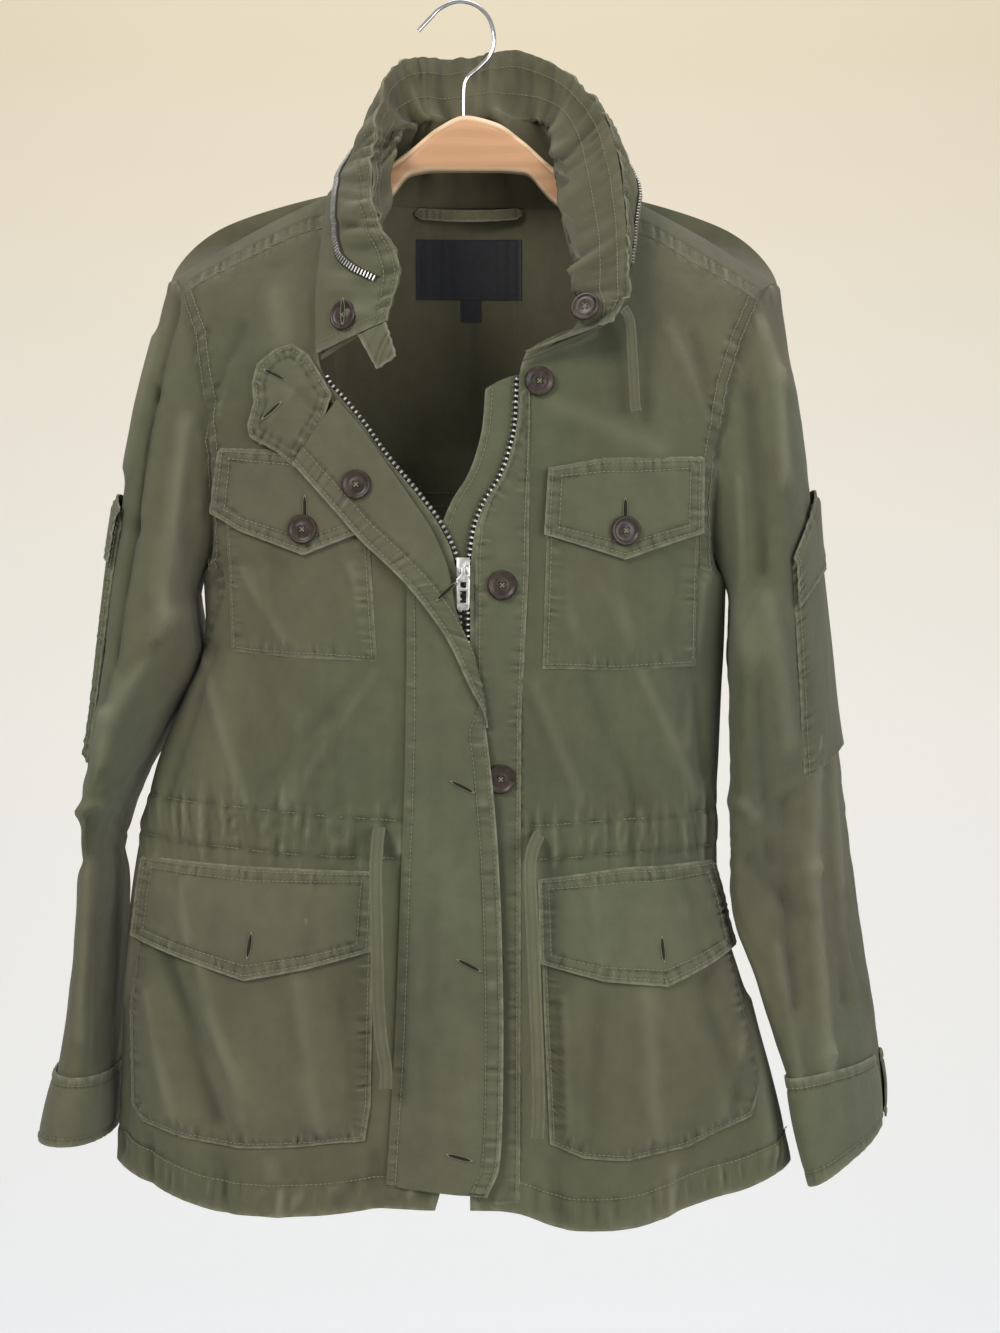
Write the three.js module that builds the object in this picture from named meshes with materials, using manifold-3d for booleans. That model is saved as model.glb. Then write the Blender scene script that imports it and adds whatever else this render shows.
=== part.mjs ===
import * as THREE from 'three';
import { mergeVertices } from 'three/addons/utils/BufferGeometryUtils.js';
import Module from 'manifold-3d';

// A field jacket on a wooden hanger, in millimetres, +Z up, the front toward -Y.
// The origin is under the crown of the hanger's hook. Left and right are as seen from the front.

const CLOTH = 1.5;            // wall of one layer of canvas
const SEAM = 0.4;             // gap left where two sewn pieces meet
const ARM_SEAM = 0.9;         // the same at the armholes, where both walls bend
const PLY = 0.4;              // gap between a panel and what is sewn on it
const CENTRE_X = 0;           // line of the closed zip
const BODY_SQUARE = 2.4;      // exponent of the body's rounded section
const RING_SQUARE = 2.2;      // exponent of the armhole and sleeve sections
const YOKE_SEAM_Z = -322;     // level of the back yoke seam
const COLLAR_WALL = 1.8;
const STORM_FOLD = 2.4;       // radius of the storm flap's roll
const BUTTON_RADIUS = 10;
const BUTTON_THICK = 3;
const HOOK_WIRE = 3;

// Depth of the body in front of and behind its side seams, at each level.
const BODY = [
  { z: -120, front: 6, back: 44 },
  { z: -150, front: 17, back: 48 },
  { z: -163, front: 27, back: 49 },
  { z: -178, front: 38, back: 50 },
  { z: -200, front: 50, back: 51 },
  { z: -225, front: 59, back: 52 },
  { z: -254, front: 65, back: 53 },
  { z: -322, front: 69, back: 53 },
  { z: -400, front: 71, back: 52 },
  { z: -500, front: 67, back: 49 },
  { z: -590, front: 61, back: 46 },
  { z: -650, front: 68, back: 50 },
  { z: -740, front: 74, back: 56 },
  { z: -850, front: 76, back: 60 },
];

// Side seams below the underarms.
const SIDES = [
  { z: -398, left: -184, right: 184 },
  { z: -450, left: -181.5, right: 182 },
  { z: -483, left: -195, right: 180 },
  { z: -531, left: -215, right: 178 },
  { z: -553, left: -221, right: 177 },
  { z: -603, left: -231, right: 177 },
  { z: -636, left: -235, right: 180 },
  { z: -682, left: -238, right: 193 },
  { z: -713, left: -240, right: 203 },
  { z: -745, left: -241, right: 213 },
  { z: -790, left: -243, right: 224 },
  { z: -850, left: -244, right: 234 },
];

// Hem line of the fronts and of the back, from the left side to the right side.
const HEM = [
  { x: -245, front: -808, back: -812 },
  { x: -207, front: -822, back: -818 },
  { x: -149, front: -836, back: -824 },
  { x: -100, front: -836, back: -828 },
  { x: -52, front: -829, back: -826 },
  { x: -20, front: -830, back: -827 },
  { x: 5, front: -830, back: -828 },
  { x: 30, front: -831, back: -828 },
  { x: 75, front: -844, back: -829 },
  { x: 115, front: -842, back: -827 },
  { x: 151, front: -831, back: -824 },
  { x: 190, front: -823, back: -818 },
  { x: 235, front: -808, back: -810 },
];

// Teeth lines of the open zip, which close on the centre line below the slider.
const ZIP = [
  { z: -165, left: -91, right: 112 },
  { z: -215, left: -93, right: 106 },
  { z: -232, left: -94, right: 86 },
  { z: -244, left: -94, right: 56 },
  { z: -256, left: -94, right: 38 },
  { z: -273, left: -89, right: 33.5 },
  { z: -286, left: -78, right: 33 },
  { z: -302, left: -65, right: 32 },
  { z: -324, left: -49.5, right: 27 },
  { z: -339, left: -37, right: 21 },
  { z: -355, left: -24, right: 11 },
  { z: -372, left: -12, right: 4.5 },
  { z: -392, left: -3, right: 1.5 },
  { z: -406, left: -0.6, right: 0.6 },
  { z: -700, left: -0.6, right: 0.6 },
  { z: -770, left: -2, right: 0.6 },
  { z: -850, left: -20, right: 0.6 },
];
const ZIP_TOP_Z = -271;
const ZIP_END_Z = -765;
const SLIDER_Z = -400;
const ZIP_EDGE = 4;           // from the teeth line to the folded edge of each front

// Armhole rings: the shoulder tip, the underarm, half depth, and how far the seam runs inward.
const ARMHOLES = {
  left: { top: [-208, -195], bottom: [-184.5, -398], depth: 46, inFront: 20, inBack: 12 },
  right: { top: [221, -198], bottom: [184.5, -402], depth: 46, inFront: -25, inBack: -14 },
};
const RING_CENTRE_Y = 2;

// Sleeve sections: the outer and inner edge seen from the front, the middle and half depth
// along Y, and the turn of the flattened section in degrees.
const SLEEVES = {
  left: [
    { ox: -208.4, oz: -195, ix: -185, iz: -398, y: 2, depth: 46, turn: 0 },
    { ox: -215.5, oz: -222, ix: -189, iz: -410, y: 3, depth: 52, turn: 0 },
    { ox: -226, oz: -269, ix: -190, iz: -425, y: 4, depth: 58, turn: 2 },
    { ox: -232.5, oz: -307, ix: -189, iz: -440, y: 5, depth: 62, turn: 4 },
    { ox: -238, oz: -346, ix: -187, iz: -455, y: 6, depth: 65, turn: 5 },
    { ox: -243, oz: -380, ix: -193, iz: -474, y: 7, depth: 66, turn: 6 },
    { ox: -247, oz: -416, ix: -203, iz: -492, y: 8, depth: 67, turn: 7 },
    { ox: -251, oz: -455, ix: -214, iz: -515, y: 9, depth: 67, turn: 8 },
    { ox: -255, oz: -494, ix: -225, iz: -535, y: 9, depth: 66, turn: 8 },
    { ox: -260, oz: -530, ix: -237, iz: -556, y: 10, depth: 65, turn: 8 },
    { ox: -265, oz: -563, ix: -246, iz: -577, y: 11, depth: 64, turn: 8 },
    { ox: -266.5, oz: -590, ix: -249, iz: -596, y: 12, depth: 63, turn: 8 },
    { ox: -268, oz: -614, ix: -244, iz: -616, y: 12, depth: 62, turn: 6 },
    { ox: -270.5, oz: -650, ix: -243.5, iz: -650, y: 12, depth: 61, turn: 6 },
    { ox: -276, oz: -700, ix: -245, iz: -700, y: 11, depth: 60, turn: 6 },
    { ox: -284, oz: -745, ix: -247, iz: -747, y: 10, depth: 60, turn: 4 },
    { ox: -289.5, oz: -770, ix: -248.5, iz: -770, y: 10, depth: 61, turn: 4 },
    { ox: -295.5, oz: -793, ix: -250, iz: -793, y: 10, depth: 62, turn: 4 },
  ],
  right: [
    { ox: 221.4, oz: -198, ix: 185, iz: -402, y: 2, depth: 46, turn: 0 },
    { ox: 228.5, oz: -240, ix: 188, iz: -416, y: 3, depth: 52, turn: -6 },
    { ox: 235, oz: -275, ix: 189, iz: -432, y: 4, depth: 57, turn: -12 },
    { ox: 241, oz: -308, ix: 189, iz: -448, y: 5, depth: 60, turn: -18 },
    { ox: 246, oz: -340, ix: 188.5, iz: -466, y: 6, depth: 62, turn: -24 },
    { ox: 250, oz: -376, ix: 187.5, iz: -486, y: 6, depth: 62, turn: -30 },
    { ox: 255, oz: -415, ix: 186.5, iz: -508, y: 6, depth: 60, turn: -35 },
    { ox: 260, oz: -455, ix: 185.5, iz: -530, y: 6, depth: 58, turn: -40 },
    { ox: 264, oz: -492, ix: 184.5, iz: -552, y: 6, depth: 55, turn: -44 },
    { ox: 269, oz: -527, ix: 183.5, iz: -574, y: 6, depth: 52, turn: -48 },
    { ox: 274, oz: -565, ix: 183, iz: -596, y: 6, depth: 50, turn: -52 },
    { ox: 278, oz: -600, ix: 183, iz: -620, y: 5, depth: 48, turn: -55 },
    { ox: 282, oz: -632, ix: 187, iz: -645, y: 4, depth: 46, turn: -58 },
    { ox: 287, oz: -665, ix: 197, iz: -672, y: 3, depth: 45, turn: -60 },
    { ox: 293.5, oz: -703, ix: 209, iz: -708, y: 2, depth: 44, turn: -60 },
    { ox: 298, oz: -742, ix: 222, iz: -748, y: 1, depth: 44, turn: -58 },
    { ox: 300, oz: -765, ix: 229, iz: -782, y: 0, depth: 45, turn: -56 },
    { ox: 301, oz: -788, ix: 238, iz: -822, y: 0, depth: 46, turn: -54 },
  ],
};
const SLEEVE_COLUMNS = 18;
const CUFF_ROW = 15;          // sleeve section at the upper edge of the turned cuff

// Largest soft folds: from and to points, half width, and height (a trough is negative).
const FRONT_FOLDS = [
  { x0: -168, z0: -470, x1: -190, z1: -575, width: 15, height: 5 },
  { x0: -140, z0: -465, x1: -152, z1: -580, width: 12, height: -5 },
  { x0: -102, z0: -470, x1: -92, z1: -585, width: 15, height: 4 },
  { x0: -62, z0: -470, x1: -58, z1: -585, width: 12, height: -3 },
  { x0: 68, z0: -475, x1: 62, z1: -590, width: 14, height: 4 },
  { x0: 100, z0: -470, x1: 104, z1: -590, width: 13, height: -4 },
  { x0: 142, z0: -465, x1: 138, z1: -590, width: 15, height: 5 },
  { x0: -150, z0: -235, x1: -172, z1: -330, width: 15, height: -4 },
  { x0: 150, z0: -235, x1: 172, z1: -345, width: 16, height: -4 },
  { x0: -190, z0: -780, x1: -195, z1: -850, width: 18, height: 5 },
  { x0: -95, z0: -790, x1: -92, z1: -850, width: 20, height: -6 },
  { x0: 100, z0: -790, x1: 104, z1: -850, width: 22, height: 6 },
  { x0: 172, z0: -780, x1: 178, z1: -850, width: 18, height: -6 },
];
const BACK_FOLDS = [
  { x0: -120, z0: -340, x1: -150, z1: -560, width: 18, height: 5 },
  { x0: -60, z0: -360, x1: -78, z1: -580, width: 18, height: -6 },
  { x0: 5, z0: -350, x1: 0, z1: -590, width: 20, height: 5 },
  { x0: 66, z0: -360, x1: 72, z1: -580, width: 18, height: -6 },
  { x0: 118, z0: -340, x1: 130, z1: -570, width: 18, height: 5 },
  { x0: -150, z0: -640, x1: -165, z1: -840, width: 24, height: 8 },
  { x0: -70, z0: -640, x1: -82, z1: -840, width: 24, height: -8 },
  { x0: 10, z0: -640, x1: 12, z1: -840, width: 26, height: 8 },
  { x0: 84, z0: -640, x1: 92, z1: -840, width: 24, height: -8 },
  { x0: 150, z0: -640, x1: 165, z1: -840, width: 22, height: 7 },
];

// Collar: its sewn edge, its free rim and the swell of the stowed hood inside it,
// from the left front round the back to the right front.
const COLLAR = [
  { bx: -99, by: -70, bz: -256, rx: -50, ry: -96, rz: -238, sx: -72, sy: -84, sz: -258 },
  { bx: -100, by: -62, bz: -218, rx: -42, ry: -93, rz: -202, sx: -62, sy: -70, sz: -212 },
  { bx: -98, by: -44, bz: -178, rx: -57, ry: -82, rz: -168, sx: -54, sy: -46, sz: -170 },
  { bx: -95, by: -14, bz: -136, rx: -63, ry: -60, rz: -137, sx: -46, sy: -30, sz: -112 },
  { bx: -91, by: 13, bz: -130, rx: -62, ry: -33, rz: -97, sx: -42, sy: -2, sz: -88 },
  { bx: -72, by: 34, bz: -129.5, rx: -54, ry: -2, rz: -48, sx: -34, sy: 12, sz: -82 },
  { bx: -40, by: 43, bz: -130, rx: -34, ry: 28, rz: -30, sx: -22, sy: 18, sz: -76 },
  { bx: 0, by: 47, bz: -130, rx: -2, ry: 38, rz: -28, sx: 0, sy: 20, sz: -74 },
  { bx: 46, by: 45, bz: -130, rx: 31, ry: 34, rz: -23, sx: 28, sy: 19, sz: -74 },
  { bx: 82, by: 35, bz: -131, rx: 59, ry: 22, rz: -34, sx: 50, sy: 12, sz: -78 },
  { bx: 106, by: 14, bz: -132, rx: 84, ry: 2, rz: -58, sx: 58, sy: -2, sz: -92 },
  { bx: 113, by: -13, bz: -137, rx: 101, ry: -20, rz: -90, sx: 58, sy: -26, sz: -122 },
  { bx: 114, by: -36, bz: -166, rx: 108, ry: -42, rz: -125, sx: 62, sy: -48, sz: -158 },
  { bx: 110, by: -55, bz: -204, rx: 111, ry: -64, rz: -172, sx: 70, sy: -68, sz: -196 },
  { bx: 92, by: -67, bz: -236, rx: 111, ry: -84, rz: -214, sx: 70, sy: -84, sz: -216 },
  { bx: 42, by: -73, bz: -256, rx: 100, ry: -91, rz: -238, sx: 66, sy: -88, sz: -232 },
];
const COLLAR_COLUMNS = 34;
const COLLAR_ROWS = 5;

// Storm flap: its seam, its right edge and its turned-back free edge, from the top down.
const STORM = [
  { sx: -92, sz: -284, rx: -86, rz: -289, lx: -115, lz: -330 },
  { sx: -74, sz: -306, rx: -69, rz: -309, lx: -98, lz: -349 },
  { sx: -57, sz: -330, rx: -53, rz: -332, lx: -83, lz: -366 },
  { sx: -46, sz: -350, rx: -37, rz: -355, lx: -69, lz: -382 },
  { sx: -42, sz: -374, rx: -22, rz: -378, lx: -53, lz: -397 },
  { sx: -38, sz: -400, rx: -12, rz: -403, lx: -39, lz: -411 },
  { sx: -38, sz: -427, rx: -6.5, rz: -430, lx: -25, lz: -428 },
  { sx: -38, sz: -458, rx: 5, rz: -458, lx: -9, lz: -452 },
  { sx: -38.5, sz: -489, rx: 12.5, rz: -488, lx: 3, lz: -482 },
  { sx: -39, sz: -516, rx: 16, rz: -515, lx: 16, lz: -515 },
  { sx: -40, sz: -556, rx: 20.5, rz: -555, lx: 20.5, lz: -555 },
  { sx: -42, sz: -604, rx: 24, rz: -602, lx: 24, lz: -602 },
  { sx: -43.5, sz: -654, rx: 26, rz: -652, lx: 26, lz: -652 },
  { sx: -45.5, sz: -711, rx: 27, rz: -709, lx: 27, lz: -709 },
  { sx: -48, sz: -760, rx: 26.5, rz: -758, lx: 26.5, lz: -758 },
  { sx: -50.5, sz: -800, rx: 24.5, rz: -798, lx: 24.5, lz: -798 },
  { sx: -51.5, sz: -814, rx: 16, rz: -820, lx: 16, lz: -820 },
];
const STORM_COLUMNS = 10;

// Outlines of the pieces sewn on the fronts, as x, z corners.
const CHEST_POCKET_LEFT = [[-163, -324], [-68, -327], [-58, -463], [-108, -461], [-159, -456]];
const CHEST_FLAP_LEFT = [[-164, -318], [-67, -322], [-66, -376], [-107, -391], [-150, -374], [-169, -361]];
const CHEST_POCKET_RIGHT = [[57, -335], [160, -330], [158, -466], [53, -468]];
const CHEST_FLAP_RIGHT = [[57, -335], [95, -325], [162, -324], [160, -375], [108, -394], [54, -378]];
const HIP_POCKET_LEFT = [[-226, -630], [-60, -634], [-61, -760], [-66, -783], [-105, -788], [-150, -790],
  [-190, -784], [-226, -775], [-230, -765]];
const HIP_FLAP_LEFT = [[-222, -597], [-150, -601], [-59, -605], [-62, -658], [-105, -670], [-145, -678],
  [-190, -664], [-226, -652]];
const HIP_POCKET_RIGHT = [[51, -638], [177, -634], [192, -700], [206, -744], [196, -772], [150, -790],
  [110, -796], [80, -795], [58, -786], [54, -700]];
const HIP_FLAP_RIGHT = [[50, -610], [110, -602], [171, -600], [184, -660], [134, -682], [92, -678],
  [51, -666]];
const FLAP_TAB = [[-115, -250], [-126, -253], [-138, -263], [-141.5, -277], [-140, -288], [-144.5, -304],
  [-143, -312], [-136, -315], [-116, -316], [-100, -300], [-90, -284], [-97, -268], [-104, -257]];
const BUTTON_STRIP = [[20, -283], [45, -276], [44, -400], [39, -500], [38, -826], [8, -826], [8, -380],
  [20, -352]];
const LABEL = [[-36, -157], [40, -157], [40, -200], [-36, -200]];
const SIZE_TAB = [[-4, -200.8], [11, -200.8], [11, -216], [-4, -216]];
const HIP_POCKET_SWELL = 9;   // how far the bellows stand off the fronts

// Reads a column of a table smoothly at a value of its first column, which may rise or fall.
function reader(rows, along, name) {
  const step = rows.map((row, k) => (k ? row[along] - rows[k - 1][along] : 0));
  const rise = rows.map((row, k) => (k ? (row[name] - rows[k - 1][name]) / step[k] : 0));
  const slope = rows.map((row, k) => {
    if (k === 0) return rise[1];
    if (k === rows.length - 1) return rise[k];
    return rise[k] * rise[k + 1] > 0 ? (2 * rise[k] * rise[k + 1]) / (rise[k] + rise[k + 1]) : 0;
  });
  const falling = rows[rows.length - 1][along] < rows[0][along];
  return (value) => {
    let k = 1;
    while (k < rows.length - 1 && (falling ? value < rows[k][along] : value > rows[k][along])) k += 1;
    const t = THREE.MathUtils.clamp((value - rows[k - 1][along]) / step[k], 0, 1);
    const a = rows[k - 1][name];
    const b = rows[k][name];
    const p = slope[k - 1] * step[k];
    const q = slope[k] * step[k];
    return a + t * (p + t * (3 * (b - a) - 2 * p - q + t * (2 * (a - b) + p + q)));
  };
}

// The same, read by the number of the row.
function byRow(rows, name) {
  return reader(rows.map((row, k) => ({ k, v: row[name] })), 'k', 'v');
}

const frontDepth = reader(BODY, 'z', 'front');
const backDepth = reader(BODY, 'z', 'back');
const sideSeam = { left: reader(SIDES, 'z', 'left'), right: reader(SIDES, 'z', 'right') };
const frontHem = reader(HEM, 'x', 'front');
const backHem = reader(HEM, 'x', 'back');
const teeth = { left: reader(ZIP, 'z', 'left'), right: reader(ZIP, 'z', 'right') };
const smooth = THREE.MathUtils.smoothstep;
const mix = THREE.MathUtils.lerp;

// Half depth of the armhole at a level, 0 at its top and bottom.
function armholeDepth(side, z) {
  const ring = ARMHOLES[side];
  const middle = (ring.top[1] + ring.bottom[1]) / 2;
  const c = Math.min(1, Math.abs((z - middle) / (ring.top[1] - middle)));
  return (1 - c ** RING_SQUARE) ** (1 / RING_SQUARE);
}

// Where a panel ends at the side: the armhole above the underarm, the side seam below it.
function sideEdge(side, face, z) {
  const ring = ARMHOLES[side];
  if (z < ring.bottom[1]) return { x: sideSeam[side](z), y: 0 };
  const level = Math.min(z, ring.top[1]);
  const t = (level - ring.bottom[1]) / (ring.top[1] - ring.bottom[1]);
  const depth = armholeDepth(side, level);
  const inward = face === 'front' ? ring.inFront : ring.inBack;
  const toBody = side === 'left' ? ARM_SEAM : -ARM_SEAM;
  const straight = mix(ring.bottom[0], ring.top[0], t);
  const y = face === 'front' ? RING_CENTRE_Y - ring.depth * depth : RING_CENTRE_Y + ring.depth * depth;
  return { x: straight + inward * depth + toBody, y };
}

// Height of the folds at a point of a panel.
function foldHeight(folds, x, z) {
  let sum = 0;
  for (const fold of folds) {
    const dx = fold.x1 - fold.x0;
    const dz = fold.z1 - fold.z0;
    const along = ((x - fold.x0) * dx + (z - fold.z0) * dz) / (dx * dx + dz * dz);
    const t = THREE.MathUtils.clamp(along, 0, 1);
    const away = Math.hypot(x - fold.x0 - t * dx, z - fold.z0 - t * dz) / fold.width;
    sum += fold.height * Math.exp(-away * away);
  }
  return sum;
}

function rounded(side, face, x, z) {
  const edge = sideEdge(side, face, z);
  const c = Math.min(1, Math.abs((x - CENTRE_X) / (edge.x - CENTRE_X)));
  return { edge, c, bow: (1 - c ** BODY_SQUARE) ** (1 / BODY_SQUARE) };
}

// Y of the fronts' outer face at a point seen from the front.
function frontY(x, z) {
  const side = x < CENTRE_X ? 'left' : 'right';
  const { edge, c, bow } = rounded(side, 'front', x, z);
  const seam = Math.min(edge.y, -SEAM / 2);
  return mix(seam, -frontDepth(z), bow) - foldHeight(FRONT_FOLDS, x, z) * (1 - c ** 6);
}

function backY(x, z) {
  const side = x < CENTRE_X ? 'left' : 'right';
  const { edge, c, bow } = rounded(side, 'back', x, z);
  const seam = Math.max(edge.y, SEAM / 2);
  return mix(seam, backDepth(z), bow) + foldHeight(BACK_FOLDS, x, z) * (1 - c ** 6);
}

// A net of points with outward normals. Turn is 1 or -1, whichever makes the normals outward.
function net(rows, columns, pointAt, { turn = 1, closed = false } = {}) {
  const points = [];
  for (let j = 0; j <= rows; j += 1) {
    const row = [];
    for (let i = 0; i < columns + (closed ? 0 : 1); i += 1) row.push(pointAt(j, i));
    points.push(row);
  }
  const across = points[0].length;
  const normals = points.map((row) => row.map(() => new THREE.Vector3()));
  for (let j = 0; j < rows; j += 1) {
    for (let i = 0; i < columns; i += 1) {
      const corner = [[j, i], [j + 1, i], [j + 1, (i + 1) % across], [j, (i + 1) % across]];
      const [a, b, c, d] = corner.map(([r, s]) => points[r][s]);
      const normal = c.clone().sub(a).cross(d.clone().sub(b)).multiplyScalar(turn);
      corner.forEach(([r, s]) => normals[r][s].add(normal));
    }
  }
  normals.forEach((row) => row.forEach((normal) => normal.normalize()));
  return { rows, columns, across, points, normals, turn };
}

// A closed wall on a net between two distances from its points, over the cells that are kept.
function wall(sheet, outer, inner, keep = () => true) {
  const value = (distance, j, i) => (typeof distance === 'function' ? distance(j, i) : distance);
  const outerFaces = [];
  const id = (j, i) => j * sheet.across + (i % sheet.across);
  for (let j = 0; j < sheet.rows; j += 1) {
    for (let i = 0; i < sheet.columns; i += 1) {
      if (!keep(j, i)) continue;
      const [a, b, c, d] = [id(j, i), id(j + 1, i), id(j + 1, i + 1), id(j, i + 1)];
      if (sheet.turn > 0) outerFaces.push([a, b, c], [a, c, d]);
      else outerFaces.push([a, c, b], [a, d, c]);
    }
  }
  const total = (sheet.rows + 1) * sheet.across;
  const faces = [...outerFaces, ...outerFaces.map(([a, b, c]) => [total + a, total + c, total + b])];
  const edges = new Set(outerFaces.flatMap(([a, b, c]) => [`${a},${b}`, `${b},${c}`, `${c},${a}`]));
  for (const edge of edges) {
    const [p, q] = edge.split(',').map(Number);
    if (!edges.has(`${q},${p}`)) faces.push([q, p, total + p], [q, total + p, total + q]);
  }
  const place = [];
  for (const distance of [outer, inner]) {
    sheet.points.forEach((row, j) => row.forEach((point, i) => {
      place.push(point.clone().addScaledVector(sheet.normals[j][i], value(distance, j, i)));
    }));
  }
  return solidFrom(place, faces);
}

// A closed solid from rings of points, one after the other, with a cap at each end.
function loft(rings) {
  const size = rings[0].length;
  const place = rings.flat();
  const faces = [];
  for (let j = 0; j + 1 < rings.length; j += 1) {
    for (let i = 0; i < size; i += 1) {
      const [a, b] = [j * size + i, j * size + ((i + 1) % size)];
      faces.push([a, b, b + size], [a, b + size, a + size]);
    }
  }
  for (const [start, flip] of [[0, true], [(rings.length - 1) * size, false]]) {
    const middle = new THREE.Vector3();
    for (let i = 0; i < size; i += 1) middle.add(place[start + i]);
    place.push(middle.multiplyScalar(1 / size));
    for (let i = 0; i < size; i += 1) {
      const [a, b] = [start + i, start + ((i + 1) % size)];
      faces.push(flip ? [b, a, place.length - 1] : [a, b, place.length - 1]);
    }
  }
  return solidFrom(place, faces);
}

function solidFrom(place, faces) {
  const used = [...new Set(faces.flat())];
  const fresh = new Map(used.map((old, k) => [old, k]));
  const geometry = new THREE.BufferGeometry();
  const corners = used.flatMap((k) => place[k].toArray());
  geometry.setAttribute('position', new THREE.Float32BufferAttribute(corners, 3));
  geometry.setIndex(faces.flat().map((k) => fresh.get(k)));
  return geometry;
}

const wasm = await Module();
wasm.setup();

function toManifold(geometry) {
  const bare = geometry.clone();
  bare.deleteAttribute('normal');
  bare.deleteAttribute('uv');
  const merged = mergeVertices(bare, 1e-4);
  return new wasm.Manifold(new wasm.Mesh({
    numProp: 3,
    vertProperties: new Float32Array(merged.attributes.position.array),
    triVerts: new Uint32Array(merged.index.array),
  }));
}

function fromManifold(solid) {
  const mesh = solid.getMesh();
  const geometry = new THREE.BufferGeometry();
  const place = [];
  for (let k = 0; k < mesh.vertProperties.length; k += mesh.numProp) {
    place.push(...mesh.vertProperties.slice(k, k + 3));
  }
  geometry.setAttribute('position', new THREE.Float32BufferAttribute(place, 3));
  geometry.setIndex([...mesh.triVerts]);
  return geometry;
}

// A block with the outline seen from the front, between two values of Y.
function block(outline, nearY, farY) {
  const shape = new THREE.Shape(outline.map(([x, z]) => new THREE.Vector2(x, z)));
  const geometry = new THREE.ExtrudeGeometry(shape, { depth: farY - nearY, bevelEnabled: false });
  geometry.rotateX(Math.PI / 2);
  geometry.translate(0, farY, 0);
  return toManifold(geometry);
}

// A layer sewn on a net, cut to an outline seen from the front.
function sewnOn(sheet, outline, outer, inner, nearY = -200, farY = 0) {
  const xs = outline.map(([x]) => x);
  const zs = outline.map(([, z]) => z);
  const low = { x: Math.min(...xs) - 1, z: Math.min(...zs) - 1 };
  const high = { x: Math.max(...xs) + 1, z: Math.max(...zs) + 1 };
  const near = (j, i) => {
    const [row, nextRow] = [sheet.points[j], sheet.points[j + 1]];
    const corners = [row[i], nextRow[i], row[i + 1], nextRow[i + 1]];
    const cx = corners.map((p) => p.x);
    const cz = corners.map((p) => p.z);
    return Math.max(...cx) > low.x && Math.min(...cx) < high.x
      && Math.max(...cz) > low.z && Math.min(...cz) < high.z;
  };
  const layer = toManifold(wall(sheet, outer, inner, near));
  return fromManifold(layer.intersect(block(outline, nearY, farY)));
}

const COLOURS = {
  cloth: [0x585a42, 0.92, 0], inner: [0x4f523a, 0.94, 0], strap: [0x6b6d50, 0.92, 0],
  label: [0x14161d, 0.8, 0],
  button: [0x3a2a24, 0.4, 0], metal: [0xb8b8b4, 0.3, 1], tape: [0x3b3728, 0.9, 0],
  wood: [0xd9a774, 0.45, 0],
  chrome: [0xd8d8d8, 0.12, 1],
};

const group = new THREE.Group();
function add(name, finish, geometry) {
  const [color, roughness, metalness] = COLOURS[finish];
  const material = new THREE.MeshStandardMaterial({ color, roughness, metalness });
  const mesh = new THREE.Mesh(geometry, material);
  mesh.name = name;
  geometry.computeVertexNormals();
  group.add(mesh);
  return mesh;
}

const shoulderZ = reader([
  { x: -208, z: -195 }, { x: -180, z: -178 }, { x: -150, z: -161 }, { x: -94, z: -134 },
  { x: 0, z: -128 }, { x: 112, z: -136 }, { x: 160, z: -159 }, { x: 190, z: -177 }, { x: 221, z: -198 },
], 'x', 'z');
const yokeFrontZ = reader([
  { x: -198, z: -212 }, { x: -150, z: -186 }, { x: -94, z: -163 },
  { x: 114, z: -166 }, { x: 160, z: -190 }, { x: 206, z: -217 },
], 'x', 'z');
const NECK_SIDE = { left: -94, right: 113 };
const YOKE_SIDE_TOP = { left: -212, right: -217 };

// The two fronts: columns from the armhole to the zip, rows from the yoke seam to the hem.
const FRONT_COLUMNS = 10;
const FRONT_ROWS = 23;
function frontNet(side) {
  const sign = side === 'left' ? -1 : 1;
  const top = YOKE_SIDE_TOP[side];
  const edgeAt = (z) => teeth[side](z) + sign * ZIP_EDGE;
  return net(FRONT_ROWS, FRONT_COLUMNS, (j, i) => {
    const v = j / FRONT_ROWS;
    const a = i / FRONT_COLUMNS;
    const armX = sideEdge(side, 'front', top).x;
    const topX = mix(armX, NECK_SIDE[side], a);
    const topZ = yokeFrontZ(topX) - SEAM;
    const shift = topX - mix(sideEdge(side, 'front', topZ).x, edgeAt(topZ), a);
    let x = topX;
    let z = topZ;
    for (let pass = 0; pass < 4; pass += 1) {
      z = mix(topZ, frontHem(x), v ** 0.92);
      const outerX = sideEdge(side, 'front', z).x;
      const innerX = edgeAt(z);
      const reach = outerX - CENTRE_X;
      const share = THREE.MathUtils.clamp((innerX - CENTRE_X) / reach, 0, 1);
      const endAngle = Math.acos(share ** (BODY_SQUARE / 2));
      const arc = CENTRE_X + reach * Math.cos(a * endAngle) ** (2 / BODY_SQUARE);
      x = mix(mix(outerX, innerX, a), arc, smooth(v, 0.15, 0.5));
      x += shift * (1 - smooth(v, 0, 0.15));
    }
    return new THREE.Vector3(x, frontY(x, z), z);
  }, { turn: side === 'left' ? 1 : -1 });
}
// Walls turn straight across the side seams and the armholes, so that each seam keeps its gap.
function squareSides(sheet, columns) {
  sheet.points.forEach((row, j) => columns.forEach((i) => {
    const underarm = row[i].z < ARMHOLES.left.bottom[1] + 12;
    sheet.normals[j][i][underarm ? 'y' : 'x'] = 0;
    sheet.normals[j][i].normalize();
  }));
  return sheet;
}
const fronts = {
  left: squareSides(frontNet('left'), [0]),
  right: squareSides(frontNet('right'), [0]),
};

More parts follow.
